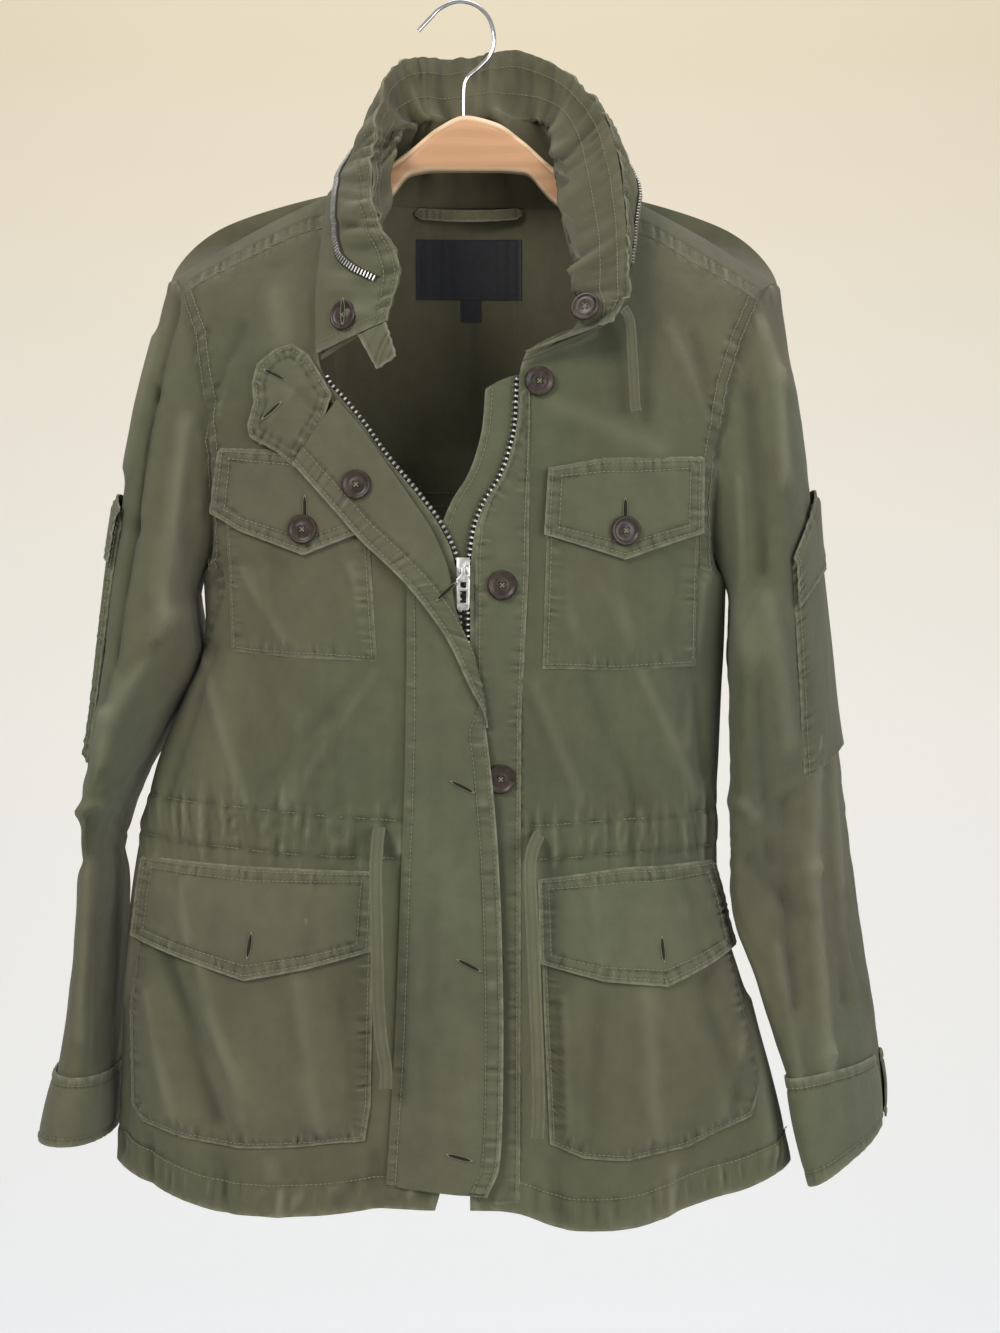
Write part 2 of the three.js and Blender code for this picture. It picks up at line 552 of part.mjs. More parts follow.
// The back below its yoke seam.
const BACK_COLUMNS = 18;
const BACK_ROWS = 14;
const backNet = net(BACK_ROWS, BACK_COLUMNS, (j, i) => {
  const v = j / BACK_ROWS;
  const angle = Math.PI * (1 - i / BACK_COLUMNS);
  const lean = Math.sign(Math.cos(angle)) * Math.abs(Math.cos(angle)) ** (2 / BODY_SQUARE);
  const side = lean < 0 ? 'left' : 'right';
  let z = YOKE_SEAM_Z - SEAM;
  let x = 0;
  for (let pass = 0; pass < 4; pass += 1) {
    x = CENTRE_X + Math.abs(lean) * (sideEdge(side, 'back', z).x - CENTRE_X);
    z = mix(YOKE_SEAM_Z - SEAM, backHem(x), v);
  }
  return new THREE.Vector3(x, backY(x, z), z);
}, { turn: -1 });
squareSides(backNet, [0, BACK_COLUMNS]);

// The yoke: up the back from its seam, and over the shoulders to the front seams.
const YOKE_SHOULDER = FRONT_COLUMNS;
const YOKE_NECK = 6;
const YOKE_UP = 6;
const YOKE_OVER = 3;
const NECK_CENTRE = (NECK_SIDE.left + NECK_SIDE.right) / 2;
const NECK_HALF = (NECK_SIDE.right - NECK_SIDE.left) / 2;
const NECK_BACK_Y = 46;
const yokeColumns = 2 * YOKE_SHOULDER + YOKE_NECK;
const yokeNet = net(YOKE_UP + YOKE_OVER, yokeColumns, (j, i) => {
  const fromLeft = i / YOKE_SHOULDER;
  const fromRight = (yokeColumns - i) / YOKE_SHOULDER;
  const onShoulder = Math.min(fromLeft, fromRight) <= 1;
  const side = i < yokeColumns / 2 ? 'left' : 'right';
  const toNeck = Math.min(1, fromLeft, fromRight);
  const angle = Math.PI * (1 - THREE.MathUtils.clamp((i - YOKE_SHOULDER) / YOKE_NECK, 0, 1));
  const neckX = NECK_CENTRE + NECK_HALF * Math.cos(angle);
  const neckY = NECK_BACK_Y * Math.sin(angle);
  const neckZ = mix(shoulderZ(neckX), -131, Math.sin(angle));
  const tip = ARMHOLES[side].top;
  const ridgeX = onShoulder ? mix(tip[0] + (side === 'left' ? SEAM : -SEAM), neckX, toNeck) : neckX;
  const ridgeY = onShoulder ? mix(RING_CENTRE_Y, neckY, toNeck) : neckY;
  const ridgeZ = onShoulder ? mix(tip[1], neckZ, toNeck) + 3 * Math.sin(Math.PI * toNeck) : neckZ;
  if (j <= YOKE_UP) {
    const w = Math.sin((j / YOKE_UP) * (Math.PI / 2));
    const z = mix(YOKE_SEAM_Z, ridgeZ, w);
    const lowX = mix(sideEdge(side, 'back', YOKE_SEAM_Z).x, NECK_SIDE[side], toNeck);
    const armX = sideEdge(side, 'back', z).x;
    const lower = onShoulder ? lowX : neckX;
    const straight = mix(lower, ridgeX, w);
    const x = onShoulder ? mix(armX, straight, toNeck) : straight;
    const round = mix(1, (1 - Math.min(1, w) ** 3) ** 0.5, smooth(toNeck * 1.6, 0, 1));
    const full = backY(x, z);
    const y = j === YOKE_UP ? ridgeY : mix(toNeck === 0 ? full : ridgeY, full, round);
    return new THREE.Vector3(x, y, z);
  }
  const t = (j - YOKE_UP) / YOKE_OVER;
  const seamX = mix(sideEdge(side, 'front', YOKE_SIDE_TOP[side]).x, NECK_SIDE[side], toNeck);
  const seamZ = yokeFrontZ(seamX);
  const x = mix(ridgeX, seamX, t);
  const seamY = frontY(seamX, seamZ);
  const z = mix(ridgeZ, seamZ, t ** 1.5);
  if (toNeck === 0) {
    const edge = sideEdge(side, 'front', z);
    return new THREE.Vector3(edge.x, edge.y, z);
  }
  return new THREE.Vector3(x, mix(ridgeY, seamY, t), z);
}, { turn: 1 });
// Where the yoke meets the fronts and the back, both walls turn the same way.
function levelRow(normals) {
  normals.forEach((normal) => {
    normal.z = 0;
    normal.normalize();
  });
}
function squareArmhole(normals) {
  normals.forEach((normal) => {
    if (normal.z < -0.8) return;
    normal.x = 0;
    normal.normalize();
  });
}
squareArmhole(yokeNet.normals.flatMap((row) => [row[0], row[yokeColumns]]));
levelRow(yokeNet.normals[0]);
levelRow(backNet.normals[0]);
for (let i = 0; i <= FRONT_COLUMNS; i += 1) {
  for (const [side, column] of [['left', i], ['right', yokeColumns - i]]) {
    const upper = yokeNet.normals[YOKE_UP + YOKE_OVER][column];
    const lower = fronts[side].normals[0][i];
    lower.add(upper).normalize();
    upper.copy(lower);
  }
}
add('front_left', 'cloth', wall(fronts.left, 0, -CLOTH));
add('front_right', 'cloth', wall(fronts.right, 0, -CLOTH));
add('back', 'cloth', wall(backNet, 0, -CLOTH));
add('yoke', 'cloth', wall(yokeNet, 0, -CLOTH, (j, i) => (
  j < YOKE_UP || i < YOKE_SHOULDER || i >= YOKE_SHOULDER + YOKE_NECK)));

// Sleeves: flattened tubes from the armholes to the turned cuffs.
function sleeveNet(side) {
  const rows = SLEEVES[side];
  const ring = ARMHOLES[side];
  return net(rows.length - 1, SLEEVE_COLUMNS, (j, i) => {
    const row = rows[j];
    const angle = (2 * Math.PI * i) / SLEEVE_COLUMNS;
    const power = (value) => Math.sign(value) * Math.abs(value) ** (2 / RING_SQUARE);
    const along = power(Math.cos(angle));
    const deep = power(Math.sin(angle + THREE.MathUtils.degToRad(row.turn)));
    const inward = (deep > 0 ? ring.inFront : ring.inBack) * Math.abs(power(Math.sin(angle)));
    const fade = 1 - smooth(j, 0, 2);
    const x = mix(row.ix, row.ox, (1 + along) / 2) + inward * fade;
    const z = mix(row.iz, row.oz, (1 + along) / 2);
    return new THREE.Vector3(x, row.y - row.depth * deep, z);
  }, { turn: side === 'left' ? -1 : 1, closed: true });
}
const sleeves = { left: sleeveNet('left'), right: sleeveNet('right') };
for (const side of ['left', 'right']) {
  squareArmhole(sleeves[side].normals[0].filter((_, i) => sleeves[side].points[0][i].z > -380));
}
for (const side of ['left', 'right']) {
  add(`sleeve_${side}`, 'cloth', wall(sleeves[side], 0, -CLOTH));
}
const CUFF_VENT = { left: 11, right: 1 };
for (const side of ['left', 'right']) {
  add(`cuff_${side}`, 'cloth', wall(sleeves[side], PLY + CLOTH, PLY, (j, i) => (
    j >= CUFF_ROW && i !== CUFF_VENT[side])));
}

// Sleeve pockets and their flaps, on the outer side of each upper arm: the left one turned
// toward the back by one column of the net, the right one toward the front.
const ARM_POCKET_ROWS = [4, 9];
const ARM_FLAP_ROWS = [4, 5];
const ARM_POCKET_COLUMNS = 3;
const ARM_POCKET_SHIFT = { left: -1, right: 1 };
function onOuterArm(side, i) {
  const column = (i - ARM_POCKET_SHIFT[side] + SLEEVE_COLUMNS) % SLEEVE_COLUMNS;
  return column < ARM_POCKET_COLUMNS || column >= SLEEVE_COLUMNS - ARM_POCKET_COLUMNS;
}
for (const side of ['left', 'right']) {
  add(`sleeve_pocket_${side}`, 'cloth', wall(sleeves[side], PLY + 2.2, PLY, (j, i) => (
    j >= ARM_POCKET_ROWS[0] && j < ARM_POCKET_ROWS[1] && onOuterArm(side, i))));
  add(`sleeve_flap_${side}`, 'cloth', wall(sleeves[side], 2 * PLY + 4.2, 2 * PLY + 2.4, (j, i) => (
    j >= ARM_FLAP_ROWS[0] && j < ARM_FLAP_ROWS[1] && onOuterArm(side, i))));
}

// Collar: the outer stand, and the layer inside it that the stowed hood swells.
const collarColumn = {};
for (const name of Object.keys(COLLAR[0])) collarColumn[name] = byRow(COLLAR, name);
function collarPoint(kind, k) {
  return new THREE.Vector3(...['x', 'y', 'z'].map((axis) => collarColumn[kind + axis](k)));
}
const COLLAR_MIDDLE = new THREE.Vector3(NECK_CENTRE, -20, 0);
function outward(point) {
  return new THREE.Vector3(point.x - COLLAR_MIDDLE.x, point.y - COLLAR_MIDDLE.y, 0).normalize();
}
const collarNet = net(COLLAR_ROWS, COLLAR_COLUMNS, (j, i) => {
  const k = (i / COLLAR_COLUMNS) * (COLLAR.length - 1);
  const v = j / COLLAR_ROWS;
  const base = collarPoint('b', k);
  const rim = collarPoint('r', k);
  const point = base.clone().lerp(rim, v);
  const swell = 7 * Math.sin(Math.PI * v) * smooth(k, 0, 1.5) * (1 - smooth(k, 12, 14));
  const ripple = 1.6 * Math.sin(i * 1.9) * smooth(v, 0.3, 1);
  return point.addScaledVector(outward(point), swell + ripple);
}, { turn: 1 });
add('collar', 'cloth', wall(collarNet, 0, -COLLAR_WALL));

const innerCollarNet = net(COLLAR_ROWS, COLLAR_COLUMNS, (j, i) => {
  const k = (i / COLLAR_COLUMNS) * (COLLAR.length - 1);
  const v = j / COLLAR_ROWS;
  const base = collarNet.points[0][i].clone().addScaledVector(collarNet.normals[0][i], -COLLAR_WALL - 3);
  base.z += 4;
  const rimNormal = collarNet.normals[COLLAR_ROWS][i];
  const rim = collarNet.points[COLLAR_ROWS][i].clone().addScaledVector(rimNormal, -COLLAR_WALL - 1.2);
  const swell = collarPoint('s', k);
  swell.addScaledVector(outward(swell), 2.5 * Math.sin(i * 1.55));
  const straight = base.clone().lerp(rim, v);
  const full = smooth(k, 0, 1.2) * (1 - smooth(k, 13.8, 15)) * 0.9;
  return straight.lerp(swell, Math.sin(Math.PI * v) * full);
}, { turn: 1 });
add('collar_lining', 'inner', wall(innerCollarNet, 0, -CLOTH));

// A smooth run of rows through a table, as points of three named columns.
function runOf(rows, names, count) {
  const read = names.map((name) => byRow(rows, name));
  return Array.from({ length: count + 1 }, (_, j) => {
    const k = (j / count) * (rows.length - 1);
    return read.map((column) => column(k));
  });
}

// Storm flap: flat from its seam to its right edge, rolled there, and turned back to the left above.
const STORM_ROWS = 19;
const STORM_LOW = 1.1;
const stormPath = runOf(STORM, ['sx', 'sz', 'rx', 'rz', 'lx', 'lz'], STORM_ROWS);
function stormHeight(z, share) {
  const overButtons = 5.4 * smooth(-z, 470, 560);
  const overRoll = 1.6 * (1 - smooth(-z, 470, 560));
  return STORM_LOW + (overButtons + overRoll) * smooth(share, 0, 0.75);
}
const stormNet = net(STORM_ROWS, STORM_COLUMNS, (j, i) => {
  const [sx, sz, rx, rz, lx, lz] = stormPath[j];
  const flat = Math.hypot(rx - sx, rz - sz);
  const back = Math.hypot(lx - rx, lz - rz);
  const run = (i / STORM_COLUMNS) * (flat + back);
  if (run <= flat || back < 2) {
    const t = Math.min(1, run / flat);
    const x = mix(sx, rx, t);
    const z = mix(sz, rz, t);
    return new THREE.Vector3(x, frontY(x, z) - stormHeight(z, t), z);
  }
  const turned = Math.min(Math.PI, (run - flat) / STORM_FOLD);
  const rest = Math.max(0, run - flat - Math.PI * STORM_FOLD);
  const reach = Math.max(back, 0.01);
  const shift = rest * (back / Math.max(back - Math.PI * STORM_FOLD, 0.5 * back)) / reach;
  const side = -Math.sin(turned) * STORM_FOLD / reach;
  const x = mix(rx, lx, Math.min(1, shift) + side);
  const z = mix(rz, lz, Math.min(1, shift) + side);
  const height = stormHeight(rz, 1) + STORM_FOLD * (1 - Math.cos(turned));
  return new THREE.Vector3(x, frontY(x, z) - height, z);
}, { turn: 1 });
add('storm_flap', 'cloth', wall(stormNet, 1.2, 0));
add('storm_flap_tab', 'inner', sewnOn(fronts.left, FLAP_TAB, 4.6, 3.2));

// Pockets and flaps on the fronts.
const HIP_MOUTH = [600, 632];
function swellAt(sheet, outline) {
  const xs = outline.map(([x]) => x);
  const zs = outline.map(([, z]) => z);
  const [x0, x1, z0, z1] = [Math.min(...xs), Math.max(...xs), Math.min(...zs), Math.max(...zs)];
  return (j, i) => {
    const point = sheet.points[j][i];
    const inX = THREE.MathUtils.clamp((point.x - x0) / (x1 - x0), 0, 1);
    const inZ = THREE.MathUtils.clamp((point.z - z0) / (z1 - z0), 0, 1);
    const below = smooth(-point.z, ...HIP_MOUTH) * Math.sin(Math.PI * Math.min(0.5, inZ)) ** 0.5;
    return HIP_POCKET_SWELL * Math.sin(Math.PI * inX) ** 0.6 * below;
  };
}
function pocket(name, sheet, outline) {
  add(name, 'cloth', sewnOn(sheet, outline, PLY + 2, PLY));
}
function flap(name, sheet, outline) {
  add(name, 'cloth', sewnOn(sheet, outline, 2 * PLY + 4, 2 * PLY + 2));
}
pocket('chest_pocket_left', fronts.left, CHEST_POCKET_LEFT);
flap('chest_flap_left', fronts.left, CHEST_FLAP_LEFT);
pocket('chest_pocket_right', fronts.right, CHEST_POCKET_RIGHT);
flap('chest_flap_right', fronts.right, CHEST_FLAP_RIGHT);
for (const [side, bag, cover] of [
  ['left', HIP_POCKET_LEFT, HIP_FLAP_LEFT], ['right', HIP_POCKET_RIGHT, HIP_FLAP_RIGHT]]) {
  const swell = swellAt(fronts[side], bag);
  add(`hip_pocket_${side}`, 'cloth', sewnOn(fronts[side], bag,
    (j, i) => PLY + CLOTH + swell(j, i), (j, i) => PLY + swell(j, i)));
  add(`hip_flap_${side}`, 'cloth', sewnOn(fronts[side], cover,
    (j, i) => 2 * PLY + 2 * CLOTH + swell(j, i), (j, i) => 2 * PLY + CLOTH + swell(j, i)));
}
add('button_strip', 'cloth', sewnOn(fronts.right, BUTTON_STRIP, PLY + 1.2, PLY));

// Strips behind the front edges: the zip tapes and the wind flap.
function edgeStrip(name, finish, side, { from, to, top, bottom, behind, thick, rows }) {
  const sign = side === 'left' ? -1 : 1;
  const strip = net(rows, 2, (j, i) => {
    const z = mix(top, bottom, j / rows);
    const round = 10 * (1 - smooth(j, 0, 1.5)) * (i === 2 ? 1 : 0);
    const x = teeth[side](z) + sign * mix(from, to, i / 2);
    return new THREE.Vector3(x, frontY(teeth[side](z) + sign * from, z) + behind, z - round);
  }, { turn: side === 'left' ? 1 : -1 });
  add(name, finish, wall(strip, 0, -thick));
}
const TAPE = {
  from: 11, to: 0.5, top: ZIP_TOP_Z, bottom: ZIP_END_Z, behind: CLOTH + 1.1, thick: 0.8, rows: 14,
};
edgeStrip('zip_tape_left', 'tape', 'left', TAPE);
edgeStrip('zip_tape_right', 'tape', 'right', TAPE);
edgeStrip('wind_flap', 'inner', 'right', {
  from: 9, to: -19, top: ZIP_TOP_Z + 2, bottom: ZIP_END_Z, behind: CLOTH + 2.9, thick: 1.6, rows: 12 });

// Zip slider, and its pull tab on a bail.
const sliderY = frontY(0, SLIDER_Z) - 2.4;
const SLIDER_SIZE = [9, 3.4, 13];
const sliderBody = new THREE.BoxGeometry(...SLIDER_SIZE);
sliderBody.translate(0, sliderY, SLIDER_Z);
const BAIL_Z = SLIDER_Z - 2;
const BAIL_Y = sliderY - 4.2;
const earShape = new THREE.BoxGeometry(1.2, 4, 4);
let sliderSolid = toManifold(sliderBody);
for (const x of [-2.6, 2.6]) {
  const ear = earShape.clone();
  ear.translate(x, BAIL_Y + 1.4, BAIL_Z);
  sliderSolid = sliderSolid.add(toManifold(ear));
}
add('zip_slider', 'metal', fromManifold(sliderSolid));
const PULL_LENGTH = 27;
const pullShape = new THREE.Shape();
pullShape.moveTo(-1.6, 1.6);
pullShape.lineTo(-1.6, -3);
pullShape.lineTo(-4.6, -6);
pullShape.lineTo(-4.2, -PULL_LENGTH + 2);
pullShape.quadraticCurveTo(-4, -PULL_LENGTH, -2, -PULL_LENGTH);
pullShape.lineTo(2, -PULL_LENGTH);
pullShape.quadraticCurveTo(4, -PULL_LENGTH, 4.2, -PULL_LENGTH + 2);
pullShape.lineTo(4.6, -6);
pullShape.lineTo(1.6, -3);
pullShape.lineTo(1.6, 1.6);
for (const [z0, z1] of [[-8, -12], [-14, -22]]) {
  const hole = new THREE.Path();
  hole.moveTo(-2, z0);
  hole.lineTo(2, z0);
  hole.lineTo(2, z1);
  hole.lineTo(-2, z1);
  pullShape.holes.push(hole);
}
const pull = new THREE.ExtrudeGeometry(pullShape, { depth: 1.6, bevelEnabled: false, curveSegments: 4 });
pull.rotateX(Math.PI / 2);
pull.translate(0, BAIL_Y + 0.8, BAIL_Z);
add('zip_pull', 'metal', pull);

// Zip of the hood's pouch, round the outside of the collar.
const HOOD_ZIP_COLUMNS = [3, 30];
add('collar_zip', 'tape', wall(collarNet, PLY + 0.9, PLY, (j, i) => (
  j === 2 && i >= HOOD_ZIP_COLUMNS[0] && i < HOOD_ZIP_COLUMNS[1])));

// Neck tab at the collar's left front corner.
const NECK_TAB = [[-70, -86.4, -246.4], [-51, -96.4, -239.4], [-44, -98, -262], [-57, -93, -270]];
const neckTabCorners = NECK_TAB.map((corner) => new THREE.Vector3(...corner));
const neckTab = net(3, 3, (j, i) => {
  const near = neckTabCorners[0].clone().lerp(neckTabCorners[1], i / 3);
  const far = neckTabCorners[3].clone().lerp(neckTabCorners[2], i / 3);
  return near.lerp(far, j / 3);
}, { turn: 1 });
add('collar_tab', 'strap', wall(neckTab, 0, -CLOTH));

// Hanging loop, bare label and bare size tab inside the yoke.
add('label', 'label', sewnOn(yokeNet, LABEL, -CLOTH - PLY, -CLOTH - PLY - 0.9, 0, 200));
add('size_tab', 'label', sewnOn(yokeNet, SIZE_TAB, -CLOTH - PLY, -CLOTH - PLY - 0.9, 0, 200));
const LOOP_HALF = 39;
const LOOP_WIDE = 8;
const LOOP_Z = -139;
const loopNet = net(1, 10, (j, i) => {
  const t = i / 10 - 0.5;
  const x = 2 + 2 * LOOP_HALF * t;
  const point = Math.abs(t) > 0.45 ? 0.35 : 1;
  const z = LOOP_Z + (0.5 - j) * LOOP_WIDE * point - 3 * (1 - 4 * t * t);
  return new THREE.Vector3(x, backY(x, LOOP_Z) - 7.4 - 5 * (1 - 4 * t * t), z);
}, { turn: 1 });
add('hanging_loop', 'strap', wall(loopNet, 0, -CLOTH));

// Buttons with a raised rim and four holes.
const BUTTON_SIDES = 10;
const BUTTON_PROFILE = [[0, 0], [9.3, 0], [BUTTON_RADIUS, 0.9], [9.6, BUTTON_THICK - 0.3],
  [8.8, BUTTON_THICK], [7.2, BUTTON_THICK - 0.9], [0, BUTTON_THICK - 0.9]];
const buttonEdge = BUTTON_PROFILE.map(([r, h]) => new THREE.Vector2(r, h));
const buttonDisc = new THREE.LatheGeometry(buttonEdge, BUTTON_SIDES);
let buttonSolid = toManifold(buttonDisc);
for (let k = 0; k < 4; k += 1) {
  const hole = new THREE.CylinderGeometry(1, 1, 12, 4);
  hole.translate(2 * Math.cos((k + 0.5) * Math.PI / 2), 0, 2 * Math.sin((k + 0.5) * Math.PI / 2));
  buttonSolid = buttonSolid.subtract(toManifold(hole));
}
const buttonGeometry = fromManifold(buttonSolid);
const UP = new THREE.Vector3(0, 1, 0);
function placeButton(name, point, normal) {
  const mesh = add(name, 'button', buttonGeometry.clone());
  mesh.position.copy(point);
  mesh.quaternion.setFromUnitVectors(UP, normal.clone().normalize());
}
function frontNormal(x, z) {
  const step = 6;
  const slopeX = (frontY(x + step, z) - frontY(x - step, z)) / (2 * step);
  const slopeZ = (frontY(x, z + step) - frontY(x, z - step)) / (2 * step);
  return new THREE.Vector3(slopeX, -1, slopeZ).normalize();
}
const BUTTONS = [
  { name: 'button_chest_left', x: -107, z: -374, height: 5.6 },
  { name: 'button_chest_right', x: 108, z: -375, height: 5.6 },
  { name: 'button_neck', x: 51, z: -275, height: 2.4 },
  { name: 'button_front_upper', x: 26, z: -412, height: 2.4 },
  { name: 'button_front_middle', x: 25, z: -542, height: 2.4 },
  { name: 'button_front_lower', x: 22, z: -664, height: 2.4 },
  { name: 'button_front_hem', x: 20, z: -780, height: 2.4 },
  { name: 'button_storm', x: -71, z: -345, height: 7.7 },
];
for (const { name, x, z, height } of BUTTONS) {
  const normal = frontNormal(x, z);
  placeButton(name, new THREE.Vector3(x, frontY(x, z), z).addScaledVector(normal, height), normal);
}

// The collar's own buttons.
function onCollar(i, j, lift) {
  const normal = collarNet.normals[j][i];
  return { point: collarNet.points[j][i].clone().addScaledVector(normal, lift), normal };
}
const neckButton = onCollar(1, 2, 0.6);
placeButton('button_collar_left', neckButton.point, neckButton.normal);
const foldedEnd = innerCollarNet.points[3][COLLAR_COLUMNS - 1];
const foldedNormal = innerCollarNet.normals[3][COLLAR_COLUMNS - 1].clone().negate();
const foldedFace = foldedEnd.clone().addScaledVector(foldedNormal, CLOTH + 4);
placeButton('button_collar_right', foldedFace, foldedNormal);

// Cords: the two waist ties and the hood cord, each a flat strip.
function cord(name, finish, points, wide, thick) {
  const path = new THREE.CatmullRomCurve3(points.map((p) => new THREE.Vector3(...p)));
  const outline = new THREE.Shape();
  for (let k = 0; k < 8; k += 1) {
    const angle = (k + 0.5) * (Math.PI / 4);
    outline[k ? 'lineTo' : 'moveTo']((thick / 2) * Math.cos(angle), (wide / 2) * Math.sin(angle));
  }
  add(name, finish, new THREE.ExtrudeGeometry(outline, {
    steps: wide > 8 ? 16 : 8, bevelEnabled: false, extrudePath: path }));
}
const LEFT_TIE = [[-57, -60.4, -576], [-57, -66, -577], [-57.5, -76, -586], [-58, -84, -604],
  [-57, -91, -640], [-56, -94, -680], [-54, -93, -712], [-51, -90, -732], [-51, -89, -746]];
const RIGHT_TIE = [[51, -62.3, -580], [50, -69, -581], [46, -80, -590], [44.5, -87, -604],
  [46, -95, -640], [48, -98, -690], [49.5, -99, -730], [50, -98, -760], [49, -97, -777]];
const HOOD_CORD = [[106.6, -88.4, -229.2], [111, -82, -237], [113.5, -75, -262], [115, -74, -290],
  [116, -75, -296]];
cord('waist_tie_left', 'strap', LEFT_TIE, 8.5, 2);
cord('waist_tie_right', 'strap', RIGHT_TIE, 8.5, 2);
cord('hood_cord', 'strap', HOOD_CORD, 7, 2);

// Hanger: a wooden bow under the shoulders, and its wire hook.
const HANGER = [
  { x: -199, top: -196.2, bottom: -213, thick: 5 },
  { x: -190, top: -189.2, bottom: -214, thick: 6 },
  { x: -150, top: -166.7, bottom: -199, thick: 6.5 },
  { x: -110, top: -147.2, bottom: -176, thick: 7 },
  { x: -80, top: -131, bottom: -157, thick: 7 },
  { x: -55, top: -115, bottom: -140, thick: 7.5 },
  { x: -38, top: -103, bottom: -121, thick: 7.5 },
  { x: -20, top: -88, bottom: -118.5, thick: 7.5 },
  { x: 0, top: -79, bottom: -118.5, thick: 7.5 },
  { x: 22, top: -84, bottom: -118.5, thick: 7.5 },
  { x: 42, top: -98, bottom: -120, thick: 7.5 },
  { x: 60, top: -114, bottom: -138, thick: 7.5 },
  { x: 90, top: -134, bottom: -160, thick: 7 },
  { x: 120, top: -149.2, bottom: -180, thick: 7 },
  { x: 160, top: -169.2, bottom: -201, thick: 6.5 },
  { x: 200, top: -192.2, bottom: -216, thick: 6 },
  { x: 210, top: -199.2, bottom: -215, thick: 5 },
];
const HANGER_SIDES = 12;
function hangerRing({ x, top, bottom, thick }) {
  const square = (value) => Math.sign(value) * Math.abs(value) ** 0.6;
  return Array.from({ length: HANGER_SIDES }, (_, i) => {
    const angle = (2 * Math.PI * (i + 0.5)) / HANGER_SIDES;
    const y = thick * square(Math.cos(angle));
    const z = (top + bottom) / 2 + ((top - bottom) / 2) * square(Math.sin(angle));
    return new THREE.Vector3(x, y, z);
  });
}
const hanger = loft(HANGER.map(hangerRing));
const HOOK = [[-1, -90], [-1, -64], [1, -53], [10, -44.5], [17.5, -36], [20.5, -25], [17.5, -11.5],
  [10, -2.5], [0, 1.6], [-9, 1], [-18, -3.5], [-24.5, -10], [-33, -19]];
const hookPath = new THREE.CatmullRomCurve3(HOOK.map(([x, z]) => new THREE.Vector3(x, 0, z)));
const wireShape = new THREE.Shape();
wireShape.absarc(0, 0, HOOK_WIRE / 2, 0, 2 * Math.PI, false);
const HOOK_BORE_RADIUS = HOOK_WIRE / 2 + 0.3;
const hookBore = new THREE.CylinderGeometry(HOOK_BORE_RADIUS, HOOK_BORE_RADIUS, 30, 10);
hookBore.rotateX(Math.PI / 2);
hookBore.translate(-1, 0, -75.3);
add('hanger', 'wood', fromManifold(toManifold(hanger).subtract(toManifold(hookBore))));
add('hanger_hook', 'chrome', new THREE.ExtrudeGeometry(wireShape, {
  steps: 22, bevelEnabled: false, curveSegments: 4, extrudePath: hookPath }));

export default group;
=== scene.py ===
# %% [markdown]
# # A field jacket on its wooden hanger
# The jacket is washed cotton canvas. Each cut piece of cloth is a thin shell on a net of points,
# so that the seams, flaps and folds can be followed point by point. All tables are in millimetres,
# with the origin under the crown of the hanger's hook, +Z up and the front toward -Y.

import math

import bpy
import numpy as np
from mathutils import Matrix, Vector


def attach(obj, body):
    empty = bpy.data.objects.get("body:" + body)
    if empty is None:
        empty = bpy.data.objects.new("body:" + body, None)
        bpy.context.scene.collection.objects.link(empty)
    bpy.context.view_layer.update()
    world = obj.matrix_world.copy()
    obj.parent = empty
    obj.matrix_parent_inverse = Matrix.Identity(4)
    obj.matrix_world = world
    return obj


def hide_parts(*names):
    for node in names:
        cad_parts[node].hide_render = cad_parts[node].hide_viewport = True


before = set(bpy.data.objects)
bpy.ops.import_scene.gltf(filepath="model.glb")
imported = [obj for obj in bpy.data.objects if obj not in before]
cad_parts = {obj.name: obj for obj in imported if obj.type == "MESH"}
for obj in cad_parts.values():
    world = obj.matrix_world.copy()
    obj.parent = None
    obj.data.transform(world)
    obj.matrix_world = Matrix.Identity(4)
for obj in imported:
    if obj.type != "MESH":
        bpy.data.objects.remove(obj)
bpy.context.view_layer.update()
MM = 0.001
BODY = "jacket"

# %% [markdown]
# ## Camera
# A portrait lens stands 1.5 m in front of the zip, at the height of the waist, and looks level.

# %% Camera
SENSOR_WIDTH = 36          # millimetres, as the lens
LENS = 57.54
CAMERA_PLACE = (0.0246, -1.5, -0.4664)
camera_data = bpy.data.cameras.new("camera")
camera_data.sensor_width = SENSOR_WIDTH
camera_data.lens = LENS
camera = bpy.data.objects.new("camera", camera_data)
bpy.context.scene.collection.objects.link(camera)
camera.location = CAMERA_PLACE
camera.rotation_euler = (math.radians(90), 0, 0)
bpy.context.scene.camera = camera
print("camera", tuple(camera.location), "lens", camera_data.lens)

# %% [markdown]
# ## Cords
# Two flat waist ties hang from the casing and a short flat cord from the collar. Each is a strip
# drawn along listed points. A strip could also be a curve with a bevel. A swept outline
# keeps the flat section with its rounded edges.

# %% Cords
CORDS = {
    "waist_tie_left": dict(
        wide=8.5, thick=2, slot="tie",
        points=[(-57, -60.4, -576), (-57, -66, -577), (-57.5, -76, -586), (-58, -84, -604), (-57, -91, -640),
                (-56, -94, -680), (-54, -93, -712), (-51, -90, -732), (-51, -89, -746)]),
    "waist_tie_right": dict(
        wide=8.5, thick=2, slot="tie",
        points=[(51, -62.3, -580), (50, -69, -581), (46, -80, -590), (44.5, -87, -604), (46, -95, -640),
                (48, -98, -690), (49.5, -99, -730), (50, -98, -760), (49, -97, -777)]),
    "hood_cord": dict(
        wide=7, thick=2, slot="tie",
        points=[(106.6, -88.4, -229.2), (111, -82, -237), (113.5, -75, -262), (115, -74, -290), (116, -75, -296)]),
}


